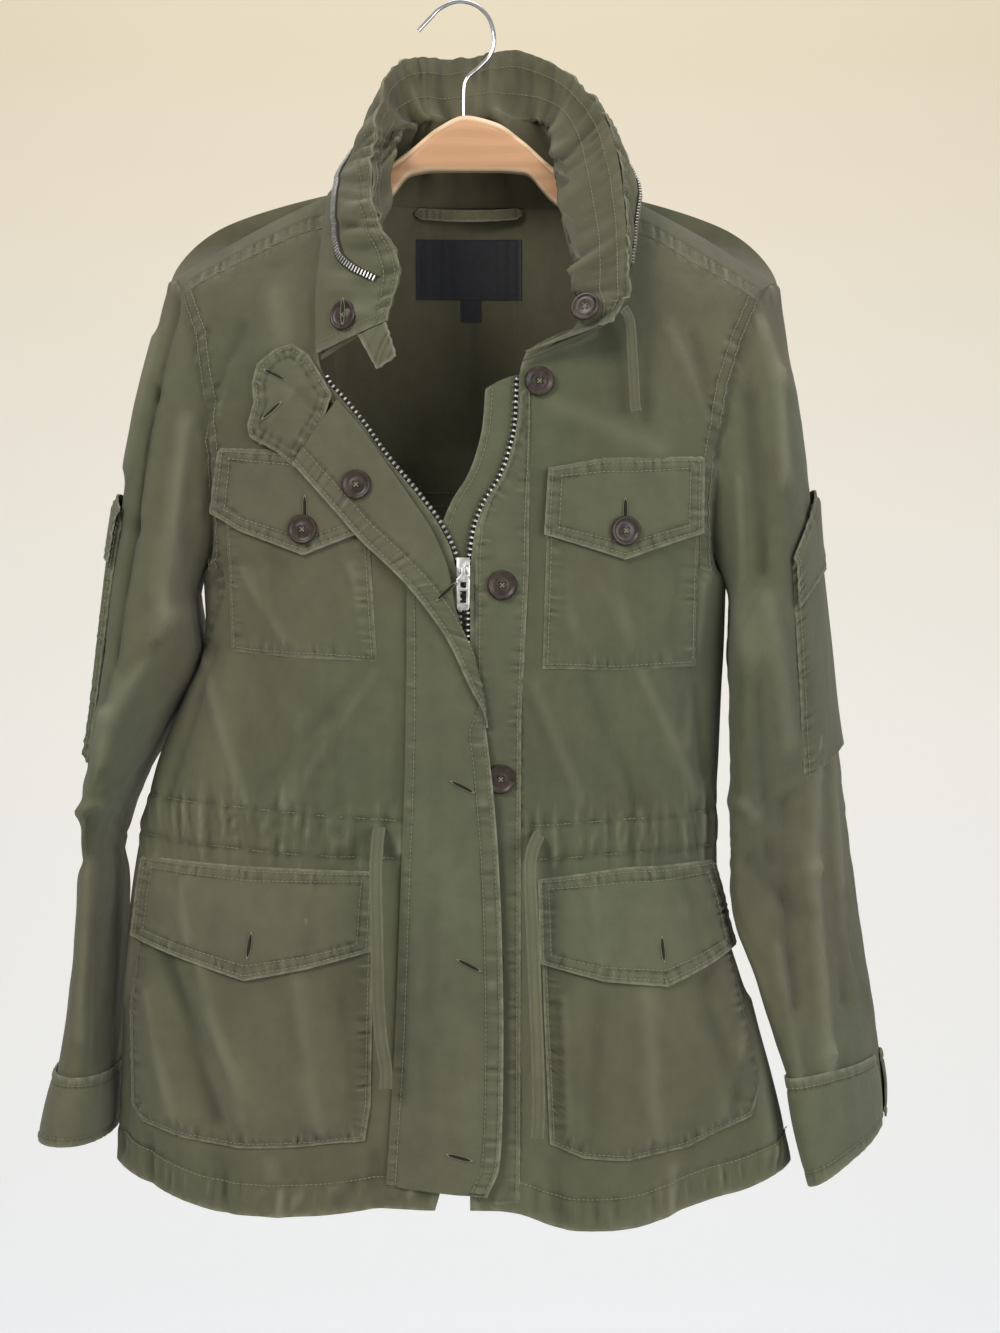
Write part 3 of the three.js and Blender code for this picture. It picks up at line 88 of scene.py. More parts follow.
def smooth_path(points, count):
    """A Catmull-Rom run of count points through the given ones, evenly spaced along its length."""
    p = np.array(points, float)
    p = np.vstack([2 * p[0] - p[1], p, 2 * p[-1] - p[-2]])
    fine = []
    for k in range(1, len(p) - 2):
        t = np.linspace(0, 1, 24, endpoint=False)[:, None]
        a, b, c, d = p[k - 1], p[k], p[k + 1], p[k + 2]
        square, cube = 2 * a - 5 * b + 4 * c - d, 3 * b - a - 3 * c + d
        fine.append(0.5 * (2 * b + (c - a) * t + square * t**2 + cube * t**3))
    fine = np.vstack([*fine, p[-2:-1]])
    run = np.concatenate([[0], np.cumsum(np.linalg.norm(np.diff(fine, axis=0), axis=1))])
    at = np.linspace(0, run[-1], count)
    return np.column_stack([np.interp(at, run, fine[:, k]) for k in range(3)]), run[-1]


cord_paths = {name: smooth_path(cord["points"], 60) for name, cord in CORDS.items()}
for name, (path, length) in cord_paths.items():
    print(name, "is", round(length), "mm long")

# %% [markdown]
# ## Stage
# A pale floor and a plain backdrop, cream above and light grey below, under large soft lamps.

# %% Stage
bpy.ops.mesh.primitive_plane_add(size=12, location=(0, 0, -2.15))
floor = bpy.context.object
floor.name = "floor"
bpy.ops.mesh.primitive_plane_add(size=12, location=(0, 3.4, 0), rotation=(math.radians(90), 0, 0))
backdrop = bpy.context.object
backdrop.name = "backdrop"


def new_material(name):
    """A material with an empty Principled surface, its node tree and a maker of linked nodes."""
    material = bpy.data.materials.new(name)
    material.use_nodes = True
    tree = material.node_tree
    return material, tree, tree.nodes["Principled BSDF"]


def node(tree, kind, inputs=None, **settings):
    """One node with its settings and inputs. An input is a value or the output of another node."""
    made = tree.nodes.new(kind)
    for key, value in settings.items():
        setattr(made, key, value)
    for key, value in (inputs or {}).items():
        if isinstance(value, bpy.types.NodeSocket):
            tree.links.new(value, made.inputs[key])
        else:
            made.inputs[key].default_value = value
    return made


def ramp(tree, factor, stops):
    """A colour ramp with the given stops of position and colour."""
    made = node(tree, "ShaderNodeValToRGB", {"Fac": factor})
    elements = made.color_ramp.elements
    for k, (position, colour) in enumerate(stops):
        element = elements[k] if k < 2 else elements.new(position)
        element.position = position
        element.color = (*colour, 1)
    return made.outputs["Color"]


material, tree, surface = new_material("backdrop_paper")
place = node(tree, "ShaderNodeTexCoord").outputs["Object"]
split = node(tree, "ShaderNodeSeparateXYZ", {0: place})
level = node(tree, "ShaderNodeMapRange", {"Value": split.outputs["Y"], 1: -2.15, 2: 0.95, 3: 0.0, 4: 1.0})
paper = ramp(tree, level.outputs[0], [
    (0.0, (0.77, 0.785, 0.80)), (0.5, (0.745, 0.72, 0.67)), (1.0, (0.648, 0.572, 0.432))])
tree.links.new(paper, surface.inputs["Base Color"])
tree.links.new(paper, surface.inputs["Emission Color"])
surface.inputs["Emission Strength"].default_value = 0.43
surface.inputs["Roughness"].default_value = 0.95
backdrop.data.materials.append(material)
material, tree, surface = new_material("floor_paper")
grain = node(tree, "ShaderNodeTexNoise", {"Scale": 3.0})
tree.links.new(ramp(tree, grain.outputs["Fac"], [(0.3, (0.70, 0.71, 0.72)), (0.7, (0.74, 0.75, 0.76))]),
               surface.inputs["Base Color"])
surface.inputs["Roughness"].default_value = 0.9
floor.data.materials.append(material)

LAMPS = [  # name, place, aim, size, watts, colour
    ("key", (-1.4, -1.9, 0.9), (0, 0, -0.5), 0.9, 36, (1.0, 0.97, 0.92)),
    ("fill", (1.8, -2.0, -0.2), (0, 0, -0.5), 1.8, 36, (0.97, 0.98, 1.0)),
    ("top", (0.1, -0.1, 1.5), (0, 0, -0.2), 1.2, 10, (1.0, 0.98, 0.95)),
    ("backdrop", (0, 1.7, 2.6), (0, 3.4, -0.4), 2.6, 26, (1.0, 0.98, 0.95)),
]
for name, at, aim, size, watts, colour in LAMPS:
    lamp = bpy.data.lights.new(name, "AREA")
    lamp.size = size
    lamp.energy = watts
    lamp.color = colour
    holder = bpy.data.objects.new(name, lamp)
    bpy.context.scene.collection.objects.link(holder)
    holder.location = at
    toward = np.array(aim) - np.array(at)
    holder.rotation_euler = (math.atan2(math.hypot(toward[0], toward[1]), -toward[2]), 0,
                             math.atan2(-toward[0], toward[1]))
bpy.context.scene.view_settings.view_transform = "Standard"
world = bpy.data.worlds.new("studio")
bpy.context.scene.world = world
world.use_nodes = True
world.node_tree.nodes["Background"].inputs["Color"].default_value = (0.9, 0.92, 0.95, 1)
world.node_tree.nodes["Background"].inputs["Strength"].default_value = 0.42
print("lamps", [lamp[0] for lamp in LAMPS])

# %% [markdown]
# ## Reading the tables
# Every form below comes from short tables of measured places. They are read smoothly, without
# overshoot, so a table of ten rows gives a clean seam.

# %% Tables


def table(columns, rows):
    """A table as a dict of named columns."""
    data = np.array(rows, float)
    return {name: data[:, k] for k, name in enumerate(columns.split())}


def reader(rows, along, name):
    """Reads a column of a table at values of another column that rises or falls."""
    t, v = rows[along], rows[name]
    if t[0] > t[-1]:
        t, v = t[::-1], v[::-1]
    step = np.diff(t)
    rise = np.diff(v) / step
    slope = np.concatenate([[rise[0]], np.zeros(len(v) - 2), [rise[-1]]])
    same = rise[:-1] * rise[1:] > 0
    total = np.where(same, rise[:-1] + rise[1:], 1)
    slope[1:-1] = np.where(same, 2 * rise[:-1] * rise[1:] / total, 0)

    def read(value):
        value = np.clip(value, t[0], t[-1])
        k = np.clip(np.searchsorted(t, value), 1, len(t) - 1)
        s = (value - t[k - 1]) / step[k - 1]
        a, b = v[k - 1], v[k]
        p, q = slope[k - 1] * step[k - 1], slope[k] * step[k - 1]
        return a + s * (p + s * (3 * (b - a) - 2 * p - q + s * (2 * (a - b) + p + q)))

    return read


def by_row(rows, name):
    """The same, read by the number of the row."""
    return reader({"k": np.arange(len(rows[name]), dtype=float), "v": rows[name]}, "k", "v")


def mix(a, b, t):
    return a + (b - a) * t


def ease(value, low, high):
    t = np.clip((value - low) / (high - low), 0, 1)
    return t * t * (3 - 2 * t)


def power(value, exponent):
    """A signed power, for sections between an ellipse and a rectangle."""
    return np.sign(value) * np.abs(value) ** exponent


def waver(run, seed, length):
    """An uneven wave along a run, between about -1 and 1, of about this length."""
    rng = np.random.default_rng(seed)
    a, b, c, d = rng.uniform(0, 2 * np.pi, 4)
    bend = 0.9 * np.sin(2 * np.pi * run / (3.7 * length) + a)
    fine = np.sin(2 * np.pi * run / (0.61 * length) + b + bend)
    swell = 0.7 + 0.3 * np.sin(2 * np.pi * run / (5.3 * length) + d)
    return swell * (0.7 * np.sin(2 * np.pi * run / length + c + 1.6 * bend) + 0.3 * fine)


# Depth of the body in front of and behind its side seams.
DEPTH = table("z front back", [
    (-120, 6, 44), (-150, 17, 48), (-163, 27, 49), (-178, 38, 50), (-200, 50, 51), (-225, 59, 52),
    (-254, 65, 53), (-322, 69, 53), (-400, 71, 52), (-500, 67, 49), (-590, 61, 46), (-650, 68, 50),
    (-740, 74, 56), (-850, 76, 60)])
SIDES = table("z left right", [
    (-398, -184, 184), (-450, -181.5, 182), (-483, -195, 180), (-531, -215, 178), (-553, -221, 177),
    (-603, -231, 177), (-636, -235, 180), (-682, -238, 193), (-713, -240, 203), (-745, -241, 213),
    (-790, -243, 224), (-850, -244, 234)])
HEM = table("x front back", [
    (-245, -808, -812), (-207, -822, -818), (-149, -836, -824), (-100, -836, -828), (-52, -829, -826),
    (-20, -830, -827), (5, -830, -828), (30, -831, -828), (75, -844, -829), (115, -842, -827),
    (151, -831, -824), (190, -823, -818), (235, -808, -810)])
# The open zip's teeth lines.
ZIP = table("z left right", [
    (-165, -91, 112), (-215, -93, 106), (-232, -94, 86), (-244, -94, 56), (-256, -94, 38),
    (-273, -89, 33.5), (-286, -78, 33), (-302, -65, 32), (-324, -49.5, 27), (-339, -37, 21),
    (-355, -24, 11), (-372, -12, 4.5), (-392, -3, 1.5), (-406, -0.6, 0.6), (-700, -0.6, 0.6),
    (-770, -2, 0.6), (-850, -20, 0.6)])
ARMHOLES = {
    "left": dict(top=(-208, -195), bottom=(-184.5, -398), depth=46, front=20, back=12, room=0.9),
    "right": dict(top=(221, -198), bottom=(184.5, -402), depth=46, front=-25, back=-14, room=-0.9),
}
RING_Y = 2                    # middle of the armholes
ZIP_EDGE = 4                  # from the teeth line to the folded edge of each front
YOKE_SEAM = -322              # level of the back yoke seam
SQUARE = 2.4                  # exponent of the body's rounded section
RING_SQUARE = 2.2
front_depth, back_depth = reader(DEPTH, "z", "front"), reader(DEPTH, "z", "back")
side_seam = {side: reader(SIDES, "z", side) for side in ("left", "right")}
front_hem, back_hem = reader(HEM, "x", "front"), reader(HEM, "x", "back")
teeth = {side: reader(ZIP, "z", side) for side in ("left", "right")}
print("tables", len(DEPTH["z"]), len(SIDES["z"]), len(HEM["x"]), len(ZIP["z"]))

# %% [markdown]
# ## The worn body
# A panel is bowed between its zip edge and its side, and lies on the armhole above the underarm.
# The folds are soft ridges and troughs laid on that form where the cloth hangs in folds.

# %% Body surfaces


def side_edge(side, face, z):
    """X and Y of the edge of a panel at each level."""
    ring = ARMHOLES[side]
    (top_x, top_z), (low_x, low_z) = ring["top"], ring["bottom"]
    level = np.minimum(z, top_z)
    middle = (top_z + low_z) / 2
    c = np.minimum(1, np.abs((level - middle) / (top_z - middle)))
    deep = (1 - c**RING_SQUARE) ** (1 / RING_SQUARE)
    straight = mix(low_x, top_x, (level - low_z) / (top_z - low_z))
    ring_y = RING_Y + (-1 if face == "front" else 1) * ring["depth"] * deep
    low = z < low_z
    return (np.where(low, side_seam[side](z), straight + ring[face] * deep + ring["room"]),
            np.where(low, 0, ring_y))


def fold_height(folds, x, z, crisp=0.0):
    """Sum of the folds at each point. A fold runs between two points and fades over its width."""
    total = np.zeros(np.broadcast(x, z).shape)
    for x0, z0, x1, z1, width, height in folds:
        dx, dz = x1 - x0, z1 - z0
        t = np.clip(((x - x0) * dx + (z - z0) * dz) / (dx * dx + dz * dz), 0, 1)
        away = np.hypot(x - x0 - t * dx, z - z0 - t * dz) / width
        total += height * mix(np.exp(-away * away), np.exp(-5 * away * away), crisp)
    return total


def panel_y(face, folds, x, z):
    """Y of a panel at points seen from the front."""
    sign = -1 if face == "front" else 1
    lx, ly = side_edge("left", face, z)
    rx, ry = side_edge("right", face, z)
    edge_x, edge_y = np.where(x < 0, lx, rx), np.where(x < 0, ly, ry)
    c = np.minimum(1, np.abs(x / edge_x))
    bow = (1 - c**SQUARE) ** (1 / SQUARE)
    seam = sign * np.maximum(sign * edge_y, 0.2)
    depth = front_depth(z) if face == "front" else back_depth(z)
    return mix(seam, sign * depth, bow) + sign * fold_height(folds, x, z) * (1 - c**6)


FRONT_FOLDS = [  # x0, z0, x1, z1, width, height
    (-168, -470, -190, -575, 15, 5), (-140, -465, -152, -580, 12, -5), (-102, -470, -92, -585, 15, 4),
    (-62, -470, -58, -585, 12, -3), (68, -475, 62, -590, 14, 4), (100, -470, 104, -590, 13, -4),
    (142, -465, 138, -590, 15, 5), (-150, -235, -172, -330, 15, -4), (150, -235, 172, -345, 16, -4),
    (-190, -780, -195, -850, 18, 5), (-95, -790, -92, -850, 20, -6), (100, -790, 104, -850, 22, 6),
    (172, -780, 178, -850, 18, -6)]
FRONT_CREASES = [  # the finer folds of the worn cloth
    (-150, -235, -176, -300, 7, -2.5), (-158, -262, -178, -330, 6, 2.0), (-128, -215, -112, -300, 16, 2.2),
    (-60, -470, -120, -560, 7, 1.6), (-75, -478, -140, -552, 7, -1.6), (-186, -440, -150, -560, 8, 2.2),
    (-172, -455, -206, -560, 6, -2.0), (-110, -500, -122, -560, 6, 1.4), (-88, -500, -84, -560, 6, -1.4),
    (48, -480, 80, -560, 8, 1.8), (84, -475, 116, -560, 7, -1.6), (120, -472, 160, -556, 8, 2.0),
    (150, -420, 166, -540, 7, -2.2), (165, -400, 152, -520, 7, 1.8), (60, -290, 130, -320, 14, 1.8),
    (140, -235, 168, -300, 8, 2.2), (156, -240, 176, -330, 7, -2.4), (-46, -560, -46, -480, 6, -1.2),
    (-216, -600, -236, -700, 9, 2.0), (-228, -700, -236, -800, 8, -2.2), (30, -600, 32, -820, 6, -1.2),
    (196, -700, 212, -800, 9, 2.2), (60, -800, 66, -840, 8, -2.0), (140, -805, 136, -840, 9, 2.4),
    (-60, -795, -58, -835, 9, -2.2), (-130, -800, -124, -840, 9, 2.2), (-166, -800, -160, -835, 8, -2.0),
    (-216, -790, -214, -820, 8, -2.0)]
BACK_FOLDS = [
    (-120, -340, -150, -560, 18, 5), (-60, -360, -78, -580, 18, -6), (5, -350, 0, -590, 20, 5),
    (66, -360, 72, -580, 18, -6), (118, -340, 130, -570, 18, 5), (-150, -640, -165, -840, 24, 8),
    (-70, -640, -82, -840, 24, -8), (10, -640, 12, -840, 26, 8), (84, -640, 92, -840, 24, -8),
    (150, -640, 165, -840, 22, 7)]
BACK_CREASES = [
    (-170, -400, -120, -540, 9, 2.6), (-150, -380, -100, -500, 8, -2.2), (160, -400, 110, -540, 9, 2.6),
    (146, -380, 96, -500, 8, -2.2), (-30, -350, -20, -560, 8, 2.0), (36, -350, 30, -560, 8, -2.0),
    (-120, -620, -110, -830, 9, -2.6), (-34, -620, -36, -830, 9, 2.4), (48, -620, 52, -830, 9, -2.6),
    (122, -620, 128, -830, 9, 2.4)]
CASING = table("x upper lower", [
    (-240, -553, -580), (-176, -560, -588), (-110, -566, -594), (-42, -571, -596), (0, -573, -597),
    (33, -574, -597), (100, -571, -594), (169, -566, -590), (230, -562, -586)])
casing_upper, casing_lower = reader(CASING, "x", "upper"), reader(CASING, "x", "lower")


def front_y(x, z):
    return panel_y("front", FRONT_FOLDS, x, z)


def back_y(x, z):
    return panel_y("back", BACK_FOLDS, x, z)


def gathers(x, z, seed):
    """Height of the small gathers that the waist cord draws up above and below its casing."""
    upper, lower = casing_upper(x), casing_lower(x)
    away = np.where(z > upper, z - upper, np.where(z < lower, lower - z, 0))
    tunnel = ease(z, lower - 2, lower + 3) * (1 - ease(z, upper - 3, upper + 2))
    pinch = (waver(x, seed, 11) + 0.5 * waver(x + 0.2 * z, seed + 7, 6.5)) * np.exp(-away / 13) * 1.3
    lines = np.exp(-((z - upper) / 1.3) ** 2) + np.exp(-((z - lower) / 1.3) ** 2)
    return pinch - 1.1 * lines, 1.2 * tunnel


def along_line(x, z, line):
    """Signed distance of each point from a line of x, z corners, and the run to its foot."""
    best, run, start = np.full(x.shape, 1e9), np.zeros(x.shape), 0.0
    for (x0, z0), (x1, z1) in zip(line, line[1:]):
        dx, dz = x1 - x0, z1 - z0
        size = math.hypot(dx, dz)
        t = np.clip(((x - x0) * dx + (z - z0) * dz) / size**2, 0, 1)
        px, pz = x - x0 - t * dx, z - z0 - t * dz
        away = np.hypot(px, pz) * np.where(px * dz - pz * dx < 0, -1, 1)
        closer = np.abs(away) < np.abs(best)
        best, run = np.where(closer, away, best), np.where(closer, start + t * size, run)
        start += size
    return best, run


def seam_relief(x, z, line, band, seed, depth=0.9):
    """Groove and puckers beside a felled seam, and the height of its raised band."""
    away, run = along_line(x, z, line)
    side = away * math.copysign(1, band)
    wide = abs(band)
    inside = ease(side, -0.5, 1.5) * (1 - ease(side, wide, wide + 2.5))
    near = ease(side, -4, 1) * (1 - ease(side, wide, wide + 6))
    fine = -depth * np.exp(-((side / 1.1) ** 2)) - 0.7 * depth * np.exp(-(((side - wide) / 1.1) ** 2))
    return fine + 1.2 * waver(run, seed, 7.5) * near, 0.8 * inside


# %% [markdown]
# ## Cloth shells
# One grid is placed on each net of points, pushed out by its relief, and given its thickness by a
# Solidify modifier. A cloth simulation could hang it too, but it wouldn't give these very folds.
# The relief is kept on the points, so the canvas can be paler on its ridges, where worn and by a painted
# highlight, and darker in troughs by a painted shade.

# %% Cloth shells


def activate(piece):
    bpy.ops.object.select_all(action="DESELECT")
    piece.select_set(True)
    bpy.context.view_layer.objects.active = piece


def unit(vectors):
    return vectors / np.maximum(np.linalg.norm(vectors, axis=-1, keepdims=True), 1e-9)


def net_normals(points, closed=False):
    """Normals of a net of points."""
    down = np.gradient(points, axis=0)
    if closed:
        ring = points[:, :-1]
        around = np.roll(ring, -1, axis=1) - np.roll(ring, 1, axis=1)
        around = np.concatenate([around, around[:, :1]], axis=1)
    else:
        around = np.gradient(points, axis=1)
    return unit(np.cross(down, around))


NETS = {}


def cloth(name, points, outward, thick=1.2, relief=None, shade=None, edge=None, closed=False, keep=None,
          material=None, nodes=(), inward=-1):
    """A shell of cloth on a net of points in millimetres. outward is a rough direction of its face."""
    normals = net_normals(points, closed)
    if np.nansum(normals * outward) < 0:
        normals = -normals
    rows, columns = points.shape[0] - 1, points.shape[1] - 1
    relief = np.zeros(points.shape[:2]) if relief is None else relief
    shade = relief if shade is None else shade
    edge = np.zeros(points.shape[:2]) if edge is None else edge
    NETS[name] = (points + normals * relief[..., None], normals)
    placed = NETS[name][0] * MM
    bpy.ops.mesh.primitive_grid_add(x_subdivisions=columns, y_subdivisions=rows, size=1, calc_uvs=True)
    piece = bpy.context.object
    piece.name = piece.data.name = name
    mesh = piece.data
    mesh.vertices.foreach_set("co", placed.reshape(-1).astype(np.float32))
    across = np.cumsum(np.linalg.norm(np.diff(placed, axis=1), axis=2), axis=1)
    u = np.concatenate([np.zeros((rows + 1, 1)), across], 1)
    down = np.cumsum(np.linalg.norm(np.diff(placed, axis=0), axis=2), axis=0)
    v = np.concatenate([np.zeros((1, columns + 1)), down], 0)
    corner = np.empty(len(mesh.loops), int)
    mesh.loops.foreach_get("vertex_index", corner)
    mean_u = np.broadcast_to(u.mean(axis=0), u.shape)
    uv = np.stack([mean_u, v], axis=-1).reshape(-1, 2)[corner]
    mesh.uv_layers[0].data.foreach_set("uv", uv.reshape(-1).astype(np.float32))
    # The relief attribute carries the shade values: paler ridges, worn and painted highlight, and painted shade in
    # troughs.
    for key, values in (("relief", shade), ("edge", edge)):
        mesh.attributes.new(key, "FLOAT", "POINT").data.foreach_set("value", values.reshape(-1).astype(np.float32))
    mesh.update()
    activate(piece)
    faces = np.zeros(len(mesh.polygons) * 3, np.float32)
    mesh.polygons.foreach_get("normal", faces)
    middle = normals[:-1, :-1].reshape(-1, 3)
    if (faces.reshape(-1, 3) * middle).sum() < 0:
        mesh.flip_normals()
    if keep is not None:
        bpy.ops.object.mode_set(mode="EDIT")
        bpy.ops.mesh.select_mode(type="FACE")
        bpy.ops.mesh.select_all(action="DESELECT")
        bpy.ops.object.mode_set(mode="OBJECT")
        mesh.polygons.foreach_set("select", ~keep.reshape(-1))
        bpy.ops.object.mode_set(mode="EDIT")
        bpy.ops.mesh.delete(type="FACE")
        bpy.ops.object.mode_set(mode="OBJECT")
    if closed:
        bpy.ops.object.mode_set(mode="EDIT")
        bpy.ops.mesh.select_all(action="SELECT")
        bpy.ops.mesh.remove_doubles(threshold=0.00001)
        bpy.ops.object.mode_set(mode="OBJECT")
    solid = piece.modifiers.new("thickness", "SOLIDIFY")
    solid.thickness = thick * MM
    solid.offset = inward
    bpy.ops.object.modifier_apply(modifier="thickness")
    bpy.ops.object.shade_smooth_by_angle(angle=math.radians(50))
    finish_piece(piece, material, nodes)
    return piece


def finish_piece(piece, material, nodes, body=BODY):
    """Gives a piece its finish, the body it moves with and the CAD nodes that it stands for."""
    piece.data.materials.clear()
    if material is not None:
        piece.data.materials.append(material)
    if nodes:
        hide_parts(*nodes)
    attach(piece, body)


def grid(rows, columns, low_row=0.0, high_row=1.0, low_column=0.0, high_column=1.0):
    """Row and column shares of a net."""
    j, i = np.meshgrid(np.linspace(low_row, high_row, rows + 1), np.linspace(low_column, high_column, columns + 1),
                       indexing="ij")
    return j, i


# %% [markdown]
# ## Canvas
# Washed cotton twill: fine diagonal threads in the bump, uneven fading in large soft patches,
# paler worn thread tops along seam edges, ridges paler where worn and by a painted highlight, and a
# painted shade that darkens the cloth in the troughs. A photograph of cloth could be tiled instead,
# but the threads would then repeat.

# %% Canvas


def effect(name, outputs, inputs=()):
    """A shader node group with the given sockets, and its input and output nodes."""
    group = bpy.data.node_groups.new(name, "ShaderNodeTree")
    for socket, kind in inputs:
        group.interface.new_socket(socket, in_out="INPUT", socket_type=kind)
    for socket, kind in outputs:
        group.interface.new_socket(socket, in_out="OUTPUT", socket_type=kind)
    return group, group.nodes.new("NodeGroupInput"), group.nodes.new("NodeGroupOutput")


def math_node(tree, operation, a, b=0.0):
    return node(tree, "ShaderNodeMath", {0: a, 1: b}, operation=operation).outputs[0]


THREAD = 0.00062              # spacing of the canvas threads, in metres
twill, _, twill_out = effect("twill_threads", [("Height", "NodeSocketFloat"), ("Tint", "NodeSocketFloat")])
uv = node(twill, "ShaderNodeUVMap").outputs["UV"]
parts = node(twill, "ShaderNodeSeparateXYZ", {0: uv})
turns = 2 * math.pi / THREAD
warp = math_node(twill, "SINE", math_node(twill, "MULTIPLY", parts.outputs["X"], turns))
rib = math_node(twill, "SINE", math_node(twill, "MULTIPLY", math_node(
    twill, "ADD", parts.outputs["X"], parts.outputs["Y"]), turns * 0.5))
slub = node(twill, "ShaderNodeTexNoise", {"Vector": uv, "Scale": 900.0, "Detail": 3.0})
height = math_node(twill, "ADD", math_node(twill, "MULTIPLY", warp, 0.35), math_node(twill, "MULTIPLY", rib, 0.65))
height = math_node(twill, "ADD", height, math_node(twill, "MULTIPLY", slub.outputs["Fac"], 1.4))
twill.links.new(height, twill_out.inputs["Height"])
twill.links.new(math_node(twill, "ADD", math_node(twill, "MULTIPLY", height, 0.12), 0.42), twill_out.inputs["Tint"])

fade, _, fade_out = effect("washed_fading", [("Fade", "NodeSocketFloat"), ("Warm", "NodeSocketFloat")])
at = node(fade, "ShaderNodeTexCoord").outputs["Object"]
broad = node(fade, "ShaderNodeTexNoise", {"Vector": at, "Scale": 7.0, "Detail": 5.0, "Roughness": 0.55})
small = node(fade, "ShaderNodeTexNoise", {"Vector": at, "Scale": 70.0, "Detail": 4.0, "Roughness": 0.6})
streak = node(fade, "ShaderNodeTexNoise", {
    "Vector": node(fade, "ShaderNodeMapping", {"Vector": at, "Scale": (60, 60, 9)}).outputs[0],
    "Scale": 1.0, "Detail": 3.0})
total = math_node(fade, "ADD", math_node(fade, "MULTIPLY", broad.outputs["Fac"], 0.5),
                  math_node(fade, "MULTIPLY", small.outputs["Fac"], 0.3))
total = math_node(fade, "ADD", total, math_node(fade, "MULTIPLY", streak.outputs["Fac"], 0.2))
fade.links.new(total, fade_out.inputs["Fade"])
warm = node(fade, "ShaderNodeTexNoise", {"Vector": at, "Scale": 4.2, "Detail": 2.0})
fade.links.new(warm.outputs["Fac"], fade_out.inputs["Warm"])


def canvas(name, cool, warm, pale, shade_colour, wear_and_highlight=1.0, bump=0.5):
    """Washed canvas between two tones, paler on worn edges, paler on ridges where worn and by a painted highlight,
    and darker in troughs by a painted shade.
    """
    material, tree, surface = new_material(name)
    threads = node(tree, "ShaderNodeGroup", node_tree=twill)
    faded = node(tree, "ShaderNodeGroup", node_tree=fade)
    relief = node(tree, "ShaderNodeAttribute", attribute_name="relief").outputs["Fac"]
    edge = node(tree, "ShaderNodeAttribute", attribute_name="edge").outputs["Fac"]
    shift = node(tree, "ShaderNodeMapRange", {"Value": faded.outputs["Warm"], 1: 0.38, 2: 0.62, 3: 0.0, 4: 1.0})
    colour = node(tree, "ShaderNodeMix", {0: shift.outputs[0], 6: (*cool, 1), 7: (*warm, 1)}, data_type="RGBA")
    tone = node(tree, "ShaderNodeMapRange", {"Value": faded.outputs["Fade"], 1: 0.35, 2: 0.65, 3: 0.80, 4: 1.18})
    grain = node(tree, "ShaderNodeMapRange", {"Value": threads.outputs["Tint"], 1: 0.2, 2: 0.8, 3: 0.86, 4: 1.14})
    tone = math_node(tree, "MULTIPLY", tone.outputs[0], grain.outputs[0])
    colour = node(tree, "ShaderNodeVectorMath", {0: colour.outputs[2], 3: tone}, operation="SCALE")
    # Ridges turn paler where the cloth is worn and by a painted highlight; troughs take a painted shade.
    ridge = node(tree, "ShaderNodeMapRange", {"Value": relief, 1: 0.15, 2: 1.2, 3: 0.0, 4: 0.55 * wear_and_highlight})
    trough_shade = node(tree, "ShaderNodeMapRange", {"Value": relief, 1: -0.15, 2: -1.2, 3: 0.0, 4: 0.75})
    rub = node(tree, "ShaderNodeTexNoise", {"Scale": 160.0, "Detail": 3.0,
                                            "Vector": node(tree, "ShaderNodeTexCoord").outputs["Object"]})
    worn = node(tree, "ShaderNodeMapRange", {"Value": rub.outputs["Fac"], 1: 0.4, 2: 0.6, 3: 0.35, 4: 1.0})
    worn = math_node(tree, "MULTIPLY", math_node(tree, "MULTIPLY", edge, worn.outputs[0]), wear_and_highlight)
    lift = math_node(tree, "MINIMUM", math_node(tree, "ADD", ridge.outputs[0], worn), 0.9)
    # Painted shade: the troughs are mixed toward the shade colour.
    colour = node(tree, "ShaderNodeMix", {0: trough_shade.outputs[0], 6: colour.outputs[0], 7: (*shade_colour, 1)},
                  data_type="RGBA")
    colour = node(tree, "ShaderNodeMix", {0: lift, 6: colour.outputs[2], 7: (*pale, 1)}, data_type="RGBA")
    tree.links.new(colour.outputs[2], surface.inputs["Base Color"])
    rough = node(tree, "ShaderNodeMapRange", {"Value": rub.outputs["Fac"], 3: 0.84, 4: 0.96})
    tree.links.new(rough.outputs[0], surface.inputs["Roughness"])
    nap = node(tree, "ShaderNodeTexNoise", {"Scale": 420.0, "Detail": 4.0,
                                            "Vector": node(tree, "ShaderNodeTexCoord").outputs["Object"]})
    soft = node(tree, "ShaderNodeBump", {"Height": nap.outputs["Fac"], "Strength": 0.5 * bump, "Distance": 0.0008})
    crush = node(tree, "ShaderNodeTexNoise", {
        "Scale": 48.0, "Detail": 3.0, "Roughness": 0.5, "Distortion": 0.6, "Vector": node(
        tree, "ShaderNodeMapping", {"Vector": node(tree, "ShaderNodeTexCoord").outputs["Object"],
                                    "Scale": (1, 1, 0.4)}).outputs[0]})
    crushed = node(tree, "ShaderNodeBump", {"Height": crush.outputs["Fac"], "Strength": 0.45, "Distance": 0.004,
                                            "Normal": soft.outputs[0]})
    weave = node(tree, "ShaderNodeBump", {"Height": threads.outputs["Height"], "Strength": bump, "Distance": 0.00018,
                                          "Normal": crushed.outputs[0]})
    tree.links.new(weave.outputs[0], surface.inputs["Normal"])
    surface.inputs["Sheen Weight"].default_value = 0.12
    surface.inputs["Sheen Roughness"].default_value = 0.6
    surface.inputs["Specular IOR Level"].default_value = 0.25
    return material


